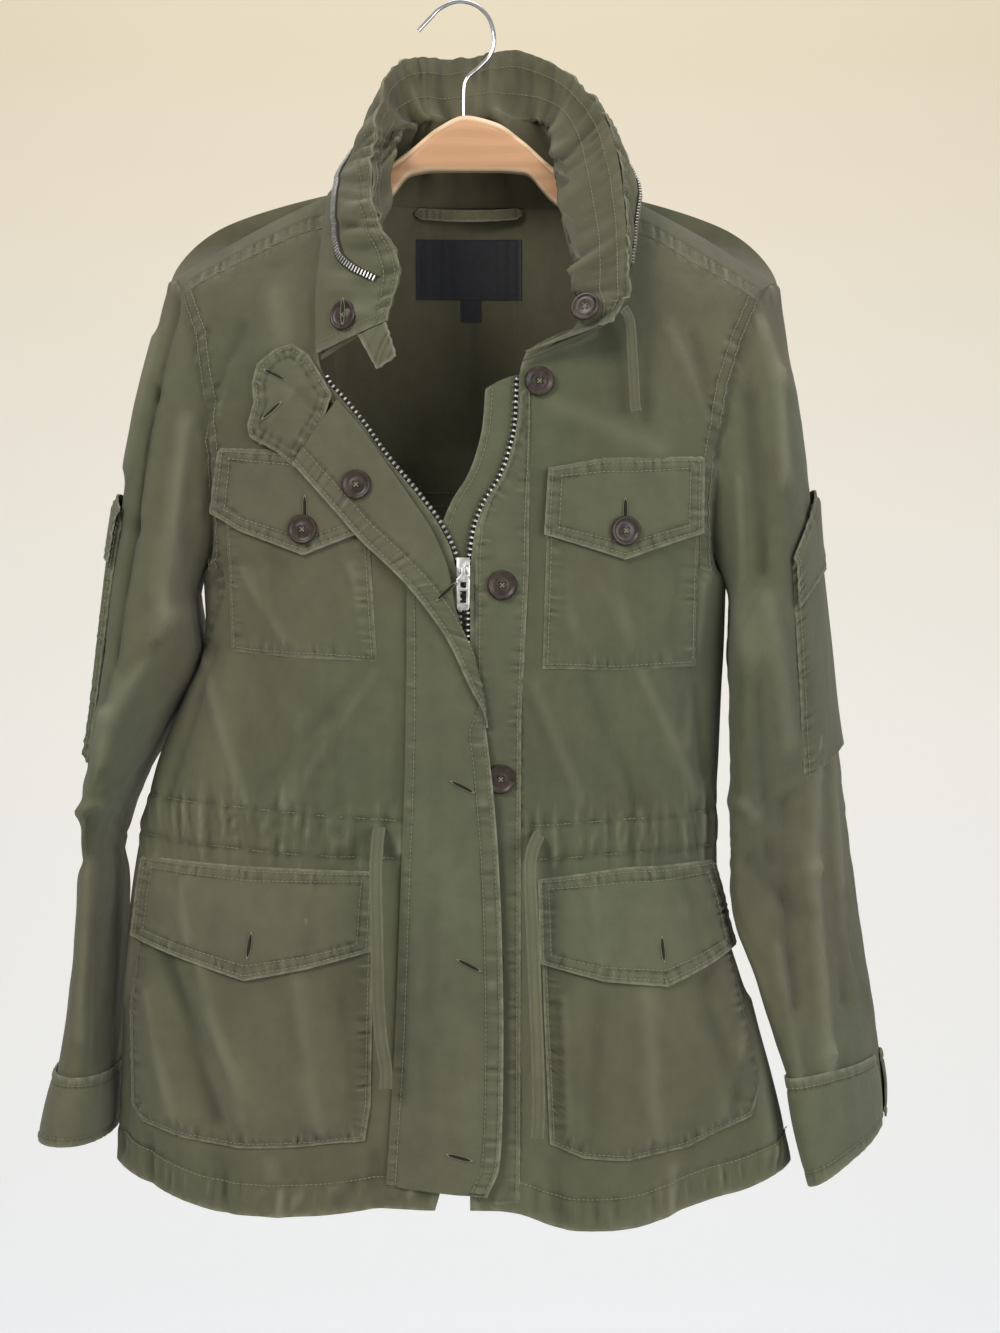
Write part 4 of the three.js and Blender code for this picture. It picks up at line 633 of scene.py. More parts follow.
# In each canvas the last colour is the painted shade of the troughs; the pale one serves worn edges and the painted
# highlight on ridges.
CANVAS = canvas("canvas", (0.098, 0.106, 0.058), (0.112, 0.104, 0.060), (0.230, 0.228, 0.150),
                (0.048, 0.050, 0.027))
CANVAS_FACE = canvas("canvas_trim", (0.108, 0.116, 0.066), (0.118, 0.112, 0.068), (0.240, 0.236, 0.160),
                     (0.050, 0.052, 0.028))
CANVAS_INNER = canvas("canvas_inner", (0.092, 0.088, 0.050), (0.098, 0.090, 0.050), (0.190, 0.180, 0.110),
                      (0.040, 0.040, 0.022), wear_and_highlight=0.7)
TIE = canvas("tie_canvas", (0.125, 0.128, 0.075), (0.135, 0.128, 0.078), (0.260, 0.255, 0.175),
             (0.060, 0.060, 0.034))
print("canvas finishes", [m.name for m in (CANVAS, CANVAS_FACE, CANVAS_INNER, TIE)])

# %% [markdown]
# ## Fronts
# Each front runs from its yoke seam to the hem, and from the armhole to the folded edge at the zip.
# The seams that show on it are puckered: the thread shrank in the wash and drew the cloth up.

# %% Fronts
YOKE_FRONT = table("x z", [(-198, -212), (-150, -186), (-94, -163), (114, -166), (160, -190), (206, -217)])
SHOULDER = table("x z", [(-208, -195), (-180, -178), (-150, -161), (-94, -134), (0, -128), (112, -136),
                         (160, -159), (190, -177), (221, -198)])
yoke_front, shoulder = reader(YOKE_FRONT, "x", "z"), reader(SHOULDER, "x", "z")
NECK_SIDE = {"left": -94, "right": 113}
YOKE_SIDE_TOP = {"left": -212, "right": -217}
ARM_SEAMS = {
    "left": [(-196, -212), (-185, -240), (-182, -263), (-178, -291), (-176, -321), (-177, -353), (-179, -400)],
    "right": [(203, -217), (191, -244), (181, -275), (177, -300), (172, -328), (169, -356), (170, -400)]}
HEM_STITCH = 22               # height of the hem's turning
GUSSET = [(-171, -375), (-165, -415), (-180, -454)]   # seam of the left underarm gusset
STRIP_SEAM = [(39, -287), (42, -343), (40, -420), (37, -600), (35, -700), (36, -830)]


def front_net(side, rows, columns):
    sign = -1 if side == "left" else 1
    v, a = grid(rows, columns)
    top = YOKE_SIDE_TOP[side]
    arm_x = float(side_edge(side, "front", np.array(float(top)))[0])
    top_x = mix(arm_x, NECK_SIDE[side], a)
    top_z = yoke_front(top_x) - 0.4
    shift = top_x - mix(side_edge(side, "front", top_z)[0], teeth[side](top_z) + sign * ZIP_EDGE, a)
    x, z = top_x, top_z
    for _ in range(5):
        z = mix(top_z, front_hem(x), v**0.92)
        outer = side_edge(side, "front", z)[0]
        inner = teeth[side](z) + sign * ZIP_EDGE
        end = np.arccos(np.clip(inner / outer, 0, 1) ** (SQUARE / 2))
        arc = outer * np.cos(a * end) ** (2 / SQUARE)
        x = mix(mix(outer, inner, a), arc, ease(v, 0.15, 0.5)) + shift * (1 - ease(v, 0, 0.15))
    return x, z, v, a


def front_relief(x, z):
    """Heights of creases, gathers, seams and hem on the fronts, and the part of them that is shaded."""
    creases = 1.5 * fold_height(FRONT_CREASES, x, z, 0.5)
    fine, raised = gathers(x, z, 5)
    above = z - front_hem(x) - HEM_STITCH
    raised = raised + 0.9 * (1 - ease(above, -1, 1.5))
    fine = fine - 1.1 * np.exp(-((above / 1.2) ** 2)) + 1.2 * waver(x, 21, 8) * np.exp(-((above + 9) / 11) ** 2)
    for line, band, seed in ((ARM_SEAMS["left"], -10, 31), (ARM_SEAMS["right"], 10, 32), (STRIP_SEAM, 3, 33),
                             (GUSSET, 3, 36)):
        away, _ = along_line(x, z, line)
        seam_fine, seam_raised = seam_relief(x, z, line, band, seed)
        near = np.abs(away) < 20
        fine, raised = fine + np.where(near, seam_fine, 0), raised + np.where(near, seam_raised, 0)
    top = yoke_front(x) - z
    fine = fine + 1.1 * waver(x, 34, 7.5) * np.exp(-((top / 6) ** 2)) - 0.6 * np.exp(-(((top - 0.5) / 1.2) ** 2))
    side = np.minimum(np.abs(x - side_seam["left"](z)), np.abs(x - side_seam["right"](z)))
    broad = 0.5 * waver(x + 0.4 * z, 35, 37) * ease(side, 5, 30)
    return creases + fine + raised + broad, 0.2 * creases + fine


fronts = {}
for side in ("left", "right"):
    x, z, v, a = front_net(side, 205, 74)
    points = np.stack([x, front_y(x, z), z], axis=-1)
    relief, shade = front_relief(x, z)
    fade_in = np.minimum(1, np.minimum(a, v) * 12 + 0.15)
    zip_edge = 0.7 * np.exp(-(np.abs(x - teeth[side](z)) - 4) / 2.5)
    hem_edge = 0.8 * np.exp(-np.abs(z - front_hem(x)) / 2.2)
    top_edge = 0.35 * np.exp(-np.abs(z - yoke_front(x)) / 3)
    fronts[side] = cloth(f"front_{side}_cloth", points, np.array([0, -1, 0]), 1.3, relief * fade_in, shade,
                         np.clip(zip_edge + hem_edge + top_edge, 0, 1), material=CANVAS, nodes=[f"front_{side}"])
    print(fronts[side].name, len(fronts[side].data.polygons), "faces")

# %% [markdown]
# ## Back and yoke
# The back hangs from the yoke seam. The yoke turns over both shoulders to the front seams, and is
# left open round the neck.

# %% Back and yoke
v, share = grid(126, 126)
angle = np.pi * (1 - share)
lean = power(np.cos(angle), 2 / SQUARE)
z = np.full(v.shape, YOKE_SEAM - 0.4)
TUCK = 6                      # seam allowance of the back behind the yoke
for _ in range(5):
    reach = np.where(lean < 0, side_edge("left", "back", z)[0], side_edge("right", "back", z)[0])
    x = np.abs(lean) * reach
    z = mix(YOKE_SEAM + TUCK, back_hem(x), v)
behind = 1.9 * ease(z, YOKE_SEAM - 3, YOKE_SEAM)
points = np.stack([x, back_y(x, z) - behind, z], axis=-1)
crease = 2.2 * fold_height(BACK_CREASES, x, z, 0.5)
above = z - back_hem(x) - HEM_STITCH
seams, raised = gathers(x, z, 6)
seams = seams + 1.2 * waver(x, 22, 8) * np.exp(-((above + 9) / 11) ** 2) - 1.1 * np.exp(-((above / 1.2) ** 2))
seams = seams + 0.6 * waver(x, 23, 8.5) * np.exp(-((YOKE_SEAM - z) / 7) ** 2)
inset = np.minimum(1, np.minimum(share, 1 - share) * 14 + 0.1) * (1 - ease(z, YOKE_SEAM - 5, YOKE_SEAM))
cloth("back_cloth", points, np.array([0, 1, 0]), 1.3, (crease + seams + raised) * inset, 0.2 * crease + seams,
      0.8 * np.exp(-np.abs(z - back_hem(x)) / 2.2), material=CANVAS, nodes=["back"])

SHOULDER_COLUMNS, NECK_COLUMNS, UP_ROWS, OVER_ROWS = 66, 48, 66, 24
NECK_MIDDLE = (NECK_SIDE["left"] + NECK_SIDE["right"]) / 2
NECK_HALF = (NECK_SIDE["right"] - NECK_SIDE["left"]) / 2
columns = 2 * SHOULDER_COLUMNS + NECK_COLUMNS
j, i = np.meshgrid(np.arange(UP_ROWS + OVER_ROWS + 1.0), np.arange(columns + 1.0), indexing="ij")
from_left, from_right = i / SHOULDER_COLUMNS, (columns - i) / SHOULDER_COLUMNS
on_shoulder = np.minimum(from_left, from_right) <= 1
is_left = i < columns / 2
to_neck = np.minimum(1, np.minimum(from_left, from_right))
angle = np.pi * (1 - np.clip((i - SHOULDER_COLUMNS) / NECK_COLUMNS, 0, 1))
neck_x = NECK_MIDDLE + NECK_HALF * np.cos(angle)
neck_y = 46 * np.sin(angle)
neck_z = mix(shoulder(neck_x), -131, np.sin(angle))
tip_x = np.where(is_left, ARMHOLES["left"]["top"][0] + 0.4, ARMHOLES["right"]["top"][0] - 0.4)
tip_z = np.where(is_left, ARMHOLES["left"]["top"][1], ARMHOLES["right"]["top"][1])
ridge_x = np.where(on_shoulder, mix(tip_x, neck_x, to_neck), neck_x)
ridge_y = np.where(on_shoulder, mix(RING_Y, neck_y, to_neck), neck_y)
ridge_z = np.where(on_shoulder, mix(tip_z, neck_z, to_neck) + 3 * np.sin(np.pi * to_neck), neck_z)
w = np.sin(np.minimum(j / UP_ROWS, 1) * np.pi / 2)
z_up = mix(YOKE_SEAM, ridge_z, w)


def both_sides(face, level):
    left, right = side_edge("left", face, level), side_edge("right", face, level)
    return np.where(is_left, left[0], right[0]), np.where(is_left, left[1], right[1])


neck_side = np.where(is_left, NECK_SIDE["left"], NECK_SIDE["right"])
low_x = mix(both_sides("back", np.full(w.shape, float(YOKE_SEAM)))[0], neck_side, to_neck)
straight = mix(np.where(on_shoulder, low_x, neck_x), ridge_x, w)
x_up = np.where(on_shoulder, mix(both_sides("back", z_up)[0], straight, to_neck), straight)
soft = mix(1, np.sqrt(np.maximum(0, 1 - w**3)), ease(to_neck * 1.6, 0, 1))
full = back_y(x_up, z_up)
y_up = mix(np.where(to_neck == 0, full, ridge_y), full, soft)
t = np.clip((j - UP_ROWS) / OVER_ROWS, 0, 1)
top_level = np.where(is_left, float(YOKE_SIDE_TOP["left"]), float(YOKE_SIDE_TOP["right"]))
seam_x = mix(both_sides("front", top_level)[0], neck_side, to_neck)
seam_z = yoke_front(seam_x)
z_over = mix(ridge_z, seam_z, t**1.5)
arm_x, arm_y = both_sides("front", z_over)
x_over = np.where(to_neck == 0, arm_x, mix(ridge_x, seam_x, t))
y_over = np.where(to_neck == 0, arm_y, mix(ridge_y, front_y(seam_x, seam_z), t**0.85))
up = j <= UP_ROWS
points = np.stack([np.where(up, x_up, x_over), np.where(up, y_up, y_over), np.where(up, z_up, z_over)], axis=-1)
keep = (up[:-1, :-1] & up[1:, :-1]) | on_shoulder[:-1, :-1] & on_shoulder[:-1, 1:]
near_seam = (1 - t) * 42
run = np.abs(points[..., 0])
relief = np.where(up, 0, 1.2 * waver(run, 41, 7.5) * np.exp(-((near_seam - 7) / 8) ** 2)
                  - 0.8 * np.exp(-((near_seam - 12) / 1.2) ** 2))
relief = relief + np.where(up, 0.6 * waver(points[..., 0], 42, 8.5) * np.exp(-((z_up - YOKE_SEAM) / 7) ** 2), 0)
relief = relief * np.minimum(1, to_neck * 10 + 0.1)
cloth("yoke_cloth", points, np.array([0, 0, 1]), 1.3, relief, relief,
      np.where(up, 0, 0.5 * np.exp(-near_seam / 2.5)), keep=keep, material=CANVAS, nodes=["yoke"])

# %% [markdown]
# ## Sleeves and cuffs
# Each sleeve is a flattened tube that falls from the armhole and turns a little on the way. Folds
# gather at the elbow. The cuffs are turned up, with a slit on the outer side.

# %% Sleeves
SLEEVE_COLUMNS = "ox oz ix iz y depth turn"
SLEEVES = {
    "left": table(SLEEVE_COLUMNS, [
        (-208.4, -195, -185, -398, 2, 46, 0), (-215.5, -222, -189, -410, 3, 52, 0),
        (-226, -269, -190, -425, 4, 58, 2),
        (-232.5, -307, -189, -440, 5, 62, 4), (-238, -346, -187, -455, 6, 65, 5),
        (-243, -380, -193, -474, 7, 66, 6), (-247, -416, -203, -492, 8, 67, 7),
        (-251, -455, -214, -515, 9, 67, 8), (-255, -494, -225, -535, 9, 66, 8),
        (-260, -530, -237, -556, 10, 65, 8), (-265, -563, -246, -577, 11, 64, 8),
        (-266.5, -590, -249, -596, 12, 63, 8), (-268, -614, -244, -616, 12, 62, 6),
        (-270.5, -650, -243.5, -650, 12, 61, 6), (-276, -700, -245, -700, 11, 60, 6),
        (-284, -745, -247, -747, 10, 60, 4), (-289.5, -770, -248.5, -770, 10, 61, 4),
        (-295.5, -793, -250, -793, 10, 62, 4)]),
    "right": table(SLEEVE_COLUMNS, [
        (221.4, -198, 185, -402, 2, 46, 0), (228.5, -240, 188, -416, 3, 52, -6),
        (235, -275, 189, -432, 4, 57, -12), (241, -308, 189, -448, 5, 60, -18),
        (246, -340, 188.5, -466, 6, 62, -24), (250, -376, 187.5, -486, 6, 62, -30),
        (255, -415, 186.5, -508, 6, 60, -35), (260, -455, 185.5, -530, 6, 58, -40),
        (264, -492, 184.5, -552, 6, 55, -44),
        (269, -527, 183.5, -574, 6, 52, -48), (274, -565, 183, -596, 6, 50, -52), (278, -600, 183, -620, 5, 48, -55),
        (282, -632, 187, -645, 4, 46, -58), (287, -665, 197, -672, 3, 45, -60), (293.5, -703, 209, -708, 2, 44, -60),
        (298, -742, 222, -748, 1, 44, -58), (300, -765, 229, -782, 0, 45, -56), (301, -788, 238, -822, 0, 46, -54)]),
}
CUFF_ROW = 15
SLEEVE_FOLDS = {  # x0, z0, x1, z1, width, height, seen from the front
    "left": [(-199, -212, -212, -279, 5, -3.0), (-212, -279, -225, -372, 5, -3.6), (-225, -372, -242, -489, 6, -3.2),
             (-190, -300, -206, -430, 9, 3.0), (-212, -240, -230, -330, 8, 2.6), (-200, -430, -240, -500, 8, 2.6),
             (-238, -470, -250, -560, 7, 2.6), (-246, -540, -262, -600, 6, -2.8), (-252, -560, -268, -570, 6, 2.6),
             (-256, -600, -262, -720, 6, 2.2), (-250, -640, -252, -740, 5, -1.8), (-210, -452, -232, -470, 6, -2.0)],
    "right": [(203, -226, 215, -267, 7, 3.2), (215, -267, 218, -340, 7, 3.0), (196, -280, 200, -400, 9, -3.0),
              (188, -340, 196, -470, 8, 2.6), (244, -513, 241, -606, 7, 3.2), (241, -606, 250, -734, 7, 3.4),
              (250, -734, 261, -800, 7, 3.2), (206, -420, 222, -520, 11, 2.4), (200, -470, 212, -600, 9, -2.4),
              (222, -560, 228, -700, 8, -2.2), (190, -560, 226, -590, 9, 2.4), (196, -600, 236, -640, 8, -2.0),
              (262, -560, 268, -700, 6, -2.4), (214, -660, 232, -760, 7, 2.0)],
}
SLEEVE_BACK_FOLDS = {
    "left": [(-205, -300, -235, -420, 9, 3), (-220, -420, -250, -520, 8, -2.6), (-240, -540, -262, -600, 8, 3),
             (-255, -620, -262, -740, 7, 2.4)],
    "right": [(210, -300, 225, -430, 9, 3), (240, -380, 250, -480, 8, -2.6), (255, -520, 262, -620, 9, 3),
              (262, -640, 268, -760, 7, 2.4), (225, -480, 235, -560, 8, -2.4)],
}


def sleeve_points(side, j, angle):
    """Points of a sleeve at rows j of its table and angles round its section."""
    rows, ring = SLEEVES[side], ARMHOLES[side]
    read = {name: by_row(rows, name)(j) for name in SLEEVE_COLUMNS.split()}
    along = power(np.cos(angle), 2 / RING_SQUARE)
    deep = power(np.sin(angle + np.radians(read["turn"])), 2 / RING_SQUARE)
    inward = np.where(deep > 0, ring["front"], ring["back"]) * np.abs(power(np.sin(angle), 2 / RING_SQUARE))
    x = mix(read["ix"], read["ox"], (1 + along) / 2) + inward * (1 - ease(j, 0, 2))
    return np.stack([x, read["y"] - read["depth"] * deep, mix(read["iz"], read["oz"], (1 + along) / 2)], axis=-1)


def sleeve_out(side, j, points):
    """Rough direction outward from the sleeve's middle line."""
    middle = (sleeve_points(side, j, np.zeros(j.shape)) + sleeve_points(side, j, np.full(j.shape, np.pi))) / 2
    return unit(points - middle)


def sleeve_relief(side, j, angle, points):
    x, y, z = np.moveaxis(points, -1, 0)
    middle = by_row(SLEEVES[side], "y")(j)
    facing = ease(middle - y, -6, 10)
    folds = mix(fold_height(SLEEVE_BACK_FOLDS[side], x, z, 0.4), fold_height(SLEEVE_FOLDS[side], x, z, 0.4), facing)
    run = j * 34
    elbow = np.exp(-((j - 9.5) / 2.6) ** 2)
    ring_wrinkles = 0.45 * waver(run + 38 * np.sin(angle), 51, 31) * (0.5 + elbow)
    hang = 0.8 * waver(angle * 45 + 0.25 * run, 54, 26) * ease(j, 1, 4)
    seam = np.exp(-((((angle + 0.35) % (2 * np.pi)) - 6.05) * 40 / 1.4) ** 2)
    head = 1.1 * waver(angle * 50, 52, 7.5) * np.exp(-((j * 24) / 7) ** 2)
    start = ease(j, 0, 0.5)
    soft = 1.8 * folds + ring_wrinkles + hang + 4.5 * np.exp(-((j - 4.5) / 2.8) ** 2) * ease(-np.cos(angle), 0.4, 1)
    # The shaded part is darker along the sleeve's seam line: a painted shade, as the form has no groove there.
    return soft * start + head * 0.6, 0.3 * folds + 0.1 * hang + head - seam


for side in ("left", "right"):
    j, angle = grid(172, 80, -0.15, 17, 0, 2 * np.pi)
    tuck, j = np.clip(-j / 0.15, 0, 1), np.maximum(j, 0)
    points = sleeve_points(side, j, angle)
    points[..., 0] += {"left": 3.5, "right": -3.5}[side] * tuck
    out = sleeve_out(side, j, points)
    relief, shade = sleeve_relief(side, j, angle, points)
    cloth(f"sleeve_{side}_cloth", points, out, 1.3, relief * (1 - 0.8 * ease(j, 14.6, 15.2)), shade,
          0.3 * np.exp(-(j * 24) / 3), closed=True, material=CANVAS, nodes=[f"sleeve_{side}"])
    vent = {"left": 11, "right": 1}[side]
    start, end = (vent + 1) * 2 * np.pi / 18, (vent + 18) * 2 * np.pi / 18
    j, angle = grid(26, 150, CUFF_ROW, 17, start, end)
    points = sleeve_points(side, j, angle)
    out = sleeve_out(side, j, points)
    normals = net_normals(points)
    normals = normals * np.sign((normals * out).sum())
    v, a = (j - CUFF_ROW) / 2, (angle - start) / (end - start)
    top = v * 50
    relief = 0.7 * waver(angle * 40, 53, 8) * (np.exp(-((top - 3) / 4) ** 2) + np.exp(-((47 - top) / 4) ** 2))
    relief = relief - 0.8 * np.exp(-((top - 6) / 1.2) ** 2) - 0.8 * np.exp(-((top - 44) / 1.2) ** 2)
    border = np.minimum(np.minimum(top, 50 - top), np.minimum(a, 1 - a) * 240)
    lifted = points + normals * (2.2 + 1.4 * np.sin(np.pi * v))[..., None]
    cloth(f"cuff_{side}_cloth", lifted, out, 1.4, relief, relief, 0.9 * np.exp(-border / 1.6), material=CANVAS_FACE,
          nodes=[f"cuff_{side}"])
print("sleeves and cuffs made")

# %% [markdown]
# ## Patches on the fronts
# Pockets and flaps are nets between four edge lines. They lie on the fronts and stand off them by a
# height that falls to the seam along the sewn edges.

# %% Patches


def spread(line, count):
    """count + 1 points along a line of corners, spaced by its length."""
    p = np.array(line, float)
    run = np.concatenate([[0], np.cumsum(np.linalg.norm(np.diff(p, axis=0), axis=1))])
    at = np.linspace(0, run[-1], count + 1)
    return np.column_stack([np.interp(at, run, p[:, k]) for k in range(p.shape[1])])


def patch(top, bottom, left, right, rows, columns):
    """A net between four lines: top and bottom from left to right, left and right downward."""
    t, b = spread(top, columns), spread(bottom, columns)
    l, r = spread(left, rows), spread(right, rows)
    v, u = grid(rows, columns)
    v, u = v[..., None], u[..., None]
    across = mix(l[:, None], r[:, None], u) + mix(t[None], b[None], v)
    corners = mix(mix(t[0], t[-1], u), mix(b[0], b[-1], u), v)
    return (across - corners)[..., 0], (across - corners)[..., 1], v[..., 0], u[..., 0]


def front_normal(x, z, step=5.0):
    slope_x = (front_y(x + step, z) - front_y(x - step, z)) / (2 * step)
    slope_z = (front_y(x, z + step) - front_y(x, z - step)) / (2 * step)
    return unit(np.stack([slope_x, -np.ones_like(slope_x), slope_z], axis=-1))


def on_front(x, z, lift):
    """Points that stand off the fronts by the given height."""
    base = np.stack([x, front_y(x, z), z], axis=-1)
    return base + front_normal(x, z) * np.asarray(lift)[..., None]


def outline_of(top, bottom, left, right):
    return [*top, *right[1:], *bottom[::-1][1:], *left[::-1][1:]]


def sewn_patch(name, lines, rows, columns, lift, seed, material=None, nodes=(), stitch=(3.0, 9.0),
               folds=(), pucker=0.7, thick=1.3):
    """A pocket or flap. lift gives its height from shares across and down, and from its border."""
    x, z, v, u = patch(*lines, rows, columns)
    away, run = along_line(x, z, outline_of(*lines))
    border = np.abs(away)
    relief = 1.6 * pucker * waver(run, seed, 7.5) * np.exp(-((border - 5) / 5.5) ** 2)
    for line in stitch:
        relief = relief - 0.9 * np.exp(-((border - line) / 1.0) ** 2)
    relief = relief + 0.25 * waver(x + 0.6 * z, seed + 1, 33) * ease(border, 6, 20)
    crease = 1.4 * fold_height(folds, x, z, 0.5) * ease(border, 2, 12)
    points = on_front(x, z, lift(u, v, border) + crease)
    edge = 0.85 * np.exp(-border / 1.5)
    return cloth(name, points, np.array([0, -1, 0]), thick, relief, relief + 0.2 * crease, edge,
                 material=material or CANVAS, nodes=nodes)


def flat(height, fall=2.5, low=0.4):
    return lambda u, v, border: low + (height - low) * ease(border, 0, fall)


def flap_lift(height, curl, swell=lambda u, v: 0):
    """A flap lies close along its sewn top edge and curls off along its free lower edge."""
    return lambda u, v, border: height + curl * v**3 + swell(u, v) - (height - 0.6) * (1 - ease(v, 0, 0.06))


CHEST = {
    "left": dict(
        pocket=([(-163, -330), (-66, -333)], [(-159, -456), (-108, -461), (-58, -463)], [(-163, -330), (-159, -456)],
                [(-66, -333), (-58, -463)]),
        flap=([(-165, -318), (-115, -321), (-67, -322)], [(-169, -361), (-150, -374), (-107, -391), (-66, -376)],
              [(-165, -318), (-169, -361)], [(-67, -322), (-66, -376)]),
        folds=[(-150, -400, -120, -450, 9, 1.6), (-75, -400, -62, -455, 8, 1.8), (-130, -395, -135, -455, 9, -1.2)]),
    "right": dict(
        pocket=([(57, -340), (161, -338)], [(53, -468), (105, -469), (158, -466)], [(57, -340), (53, -468)],
                [(161, -338), (158, -466)]),
        flap=([(57, -333), (95, -326), (162, -324)], [(54, -378), (108, -394), (160, -375)], [(57, -333), (54, -378)],
              [(162, -324), (160, -375)]),
        folds=[(70, -400, 74, -455, 9, 1.2), (146, -395, 140, -460, 8, -1.3), (105, -410, 112, -460, 10, 1.2)]),
}
for side, part in CHEST.items():
    sewn_patch(f"chest_pocket_{side}_cloth", part["pocket"], 56, 46, flat(2.8, 3), 61, nodes=[f"chest_pocket_{side}"],
               folds=part["folds"], stitch=(3.0,))
    sewn_patch(f"chest_flap_{side}_cloth", part["flap"], 34, 52, flap_lift(4.4, 1.6), 63, CANVAS_FACE,
               [f"chest_flap_{side}"], folds=[(-110, -350, -107, -385, 10, -0.8), (108, -350, 108, -388, 10, -0.8)])

HIP = {
    "left": dict(
        pocket=([(-222, -626), (-140, -631), (-60, -630)],
                [(-228, -768), (-219, -778), (-190, -785), (-150, -791), (-105, -789), (-66, -784)],
                [(-222, -626), (-230, -700), (-228, -768)], [(-60, -630), (-62, -760), (-66, -784)]),
        flap=([(-222, -597), (-150, -602), (-59, -605)],
              [(-226, -652), (-190, -664), (-145, -678), (-105, -670), (-62, -658)],
              [(-222, -597), (-226, -652)], [(-59, -605), (-62, -658)]),
        folds=[(-199, -663, -166, -770, 11, -3.4), (-176, -670, -146, -770, 10, 2.2),
               (-110, -680, -96, -780, 12, 2.0),
               (-80, -690, -72, -780, 7, -1.6), (-214, -690, -196, -772, 8, 2.2)]),
    "right": dict(
        pocket=([(52, -634), (120, -632), (177, -628)],
                [(58, -786), (80, -795), (110, -797), (150, -791), (196, -774), (206, -746)],
                [(52, -634), (54, -700), (58, -786)], [(177, -628), (192, -700), (206, -746)]),
        flap=([(50, -610), (110, -603), (171, -600)], [(51, -666), (92, -678), (134, -683), (160, -672), (184, -660)],
              [(50, -610), (51, -666)], [(171, -600), (184, -660)]),
        folds=[(160, -680, 184, -760, 10, -2.6), (120, -690, 128, -785, 12, 2.2), (90, -690, 84, -785, 10, -1.8),
               (66, -690, 70, -780, 8, 1.8), (188, -720, 170, -785, 8, 2.2)]),
}


def hip_swell(u, v):
    return 8.6 * np.sin(np.pi * np.clip(u, 0, 1)) ** 0.6 * np.sin(np.pi * np.clip(1 - v, 0, 0.5)) ** 0.5


for side, part in HIP.items():
    sewn_patch(f"hip_pocket_{side}_cloth", part["pocket"], 70, 76,
               lambda u, v, border: 1.6 + hip_swell(u, v) * ease(border, -1, 7), 65, nodes=[f"hip_pocket_{side}"],
               folds=part["folds"], stitch=(3.0,), pucker=0.8)
    sewn_patch(f"hip_flap_{side}_cloth", part["flap"], 36, 76,
               flap_lift(3.4, 1.4, lambda u, v: (
                   8.6 * np.sin(np.pi * np.clip(u, 0.02, 0.98)) ** 0.6 * ease(v, 0, 0.5))), 67,
               CANVAS_FACE, [f"hip_flap_{side}"],
               folds=[(-190, -610, -184, -655, 8, 1.6), (-100, -612, -104, -662, 9, -1.4),
                      (84, -612, 90, -670, 9, 1.4),
                      (150, -612, 158, -665, 8, -1.4)])
print("pockets made")

# %% [markdown]
# ## Storm flap
# A long strip sewn along the left front. It lies over the buttons below, and its top half is turned
# back on a soft roll, with the stitched free edge lying on the chest. Its top end is a rounded tab.

# %% Storm flap
STORM_ROWS = "sx sz rx rz lx lz"
STORM = table(STORM_ROWS, [
    (-92, -284, -86, -289, -115, -330), (-74, -306, -69, -309, -98, -349), (-57, -330, -53, -332, -83, -366),
    (-46, -350, -37, -355, -69, -382), (-42, -374, -22, -378, -53, -397), (-38, -400, -12, -403, -39, -411),
    (-38, -427, -6.5, -430, -25, -428), (-38, -458, 5, -458, -9, -452), (-38.5, -489, 12.5, -488, 3, -482),
    (-39, -516, 16, -515, 16, -515), (-40, -556, 20.5, -555, 20.5, -555), (-42, -604, 24, -602, 24, -602),
    (-43.5, -654, 26, -652, 26, -652), (-45.5, -711, 27, -709, 27, -709), (-48, -760, 26.5, -758, 26.5, -758),
    (-50.5, -800, 24.5, -798, 24.5, -798), (-51.5, -814, 16, -820, 16, -820)])
ROLL = 2.4
rows, columns = 230, 44
j, share = grid(rows, columns, 0, 16)
sx, sz, rx, rz, lx, lz = (by_row(STORM, name)(j) for name in STORM_ROWS.split())
flat_run = np.hypot(rx - sx, rz - sz)
back_run = np.hypot(lx - rx, lz - rz)
run = share * (flat_run + back_run)


def storm_height(z, part):
    lower = ease(-z, 470, 560)
    return 1.3 + (5.4 * lower + 1.6 * (1 - lower)) * ease(part, 0, 0.75)


on_flat = (run <= flat_run) | (back_run < 2)
t = np.minimum(1, run / flat_run)
turned = np.clip((run - flat_run) / ROLL, 0, np.pi)
rest = np.maximum(0, run - flat_run - np.pi * ROLL)
reach = np.maximum(back_run, 0.01)
shift = np.minimum(1, rest * (back_run / np.maximum(back_run - np.pi * ROLL, 0.5 * back_run + 0.001)) / reach)
side_step = -np.sin(turned) * ROLL / reach
x = np.where(on_flat, mix(sx, rx, t), mix(rx, lx, shift + side_step))
z = np.where(on_flat, mix(sz, rz, t), mix(rz, lz, shift + side_step))
height = np.where(on_flat, storm_height(z, t), storm_height(rz, 1) + ROLL * (1 - np.cos(turned)))
points = np.stack([x, front_y(x, z) - height, z], axis=-1)
total_run = flat_run + back_run
inner_edge = total_run - run
STORM_FOLDS = [(-10, -600, -18, -700, 9, 1.4), (-30, -640, -26, -780, 8, -1.2), (4, -560, -20, -600, 9, 1.3),
               (10, -700, -30, -730, 8, -1.2), (0, -780, -34, -770, 8, 1.2), (-14, -520, -26, -560, 7, -1.2)]
crease = fold_height(STORM_FOLDS, x, z)
down = j * 34
relief = 1.2 * waver(down, 71, 7.5) * (np.exp(-((inner_edge - 7) / 6) ** 2) + 0.8 * np.exp(-((run - 4) / 4) ** 2))
relief = relief - 0.9 * np.exp(-((inner_edge - 3) / 1.0) ** 2) - 0.9 * np.exp(-((inner_edge - 12) / 1.0) ** 2)
relief = relief - 0.6 * np.exp(-((run - 6) / 1.1) ** 2) + crease
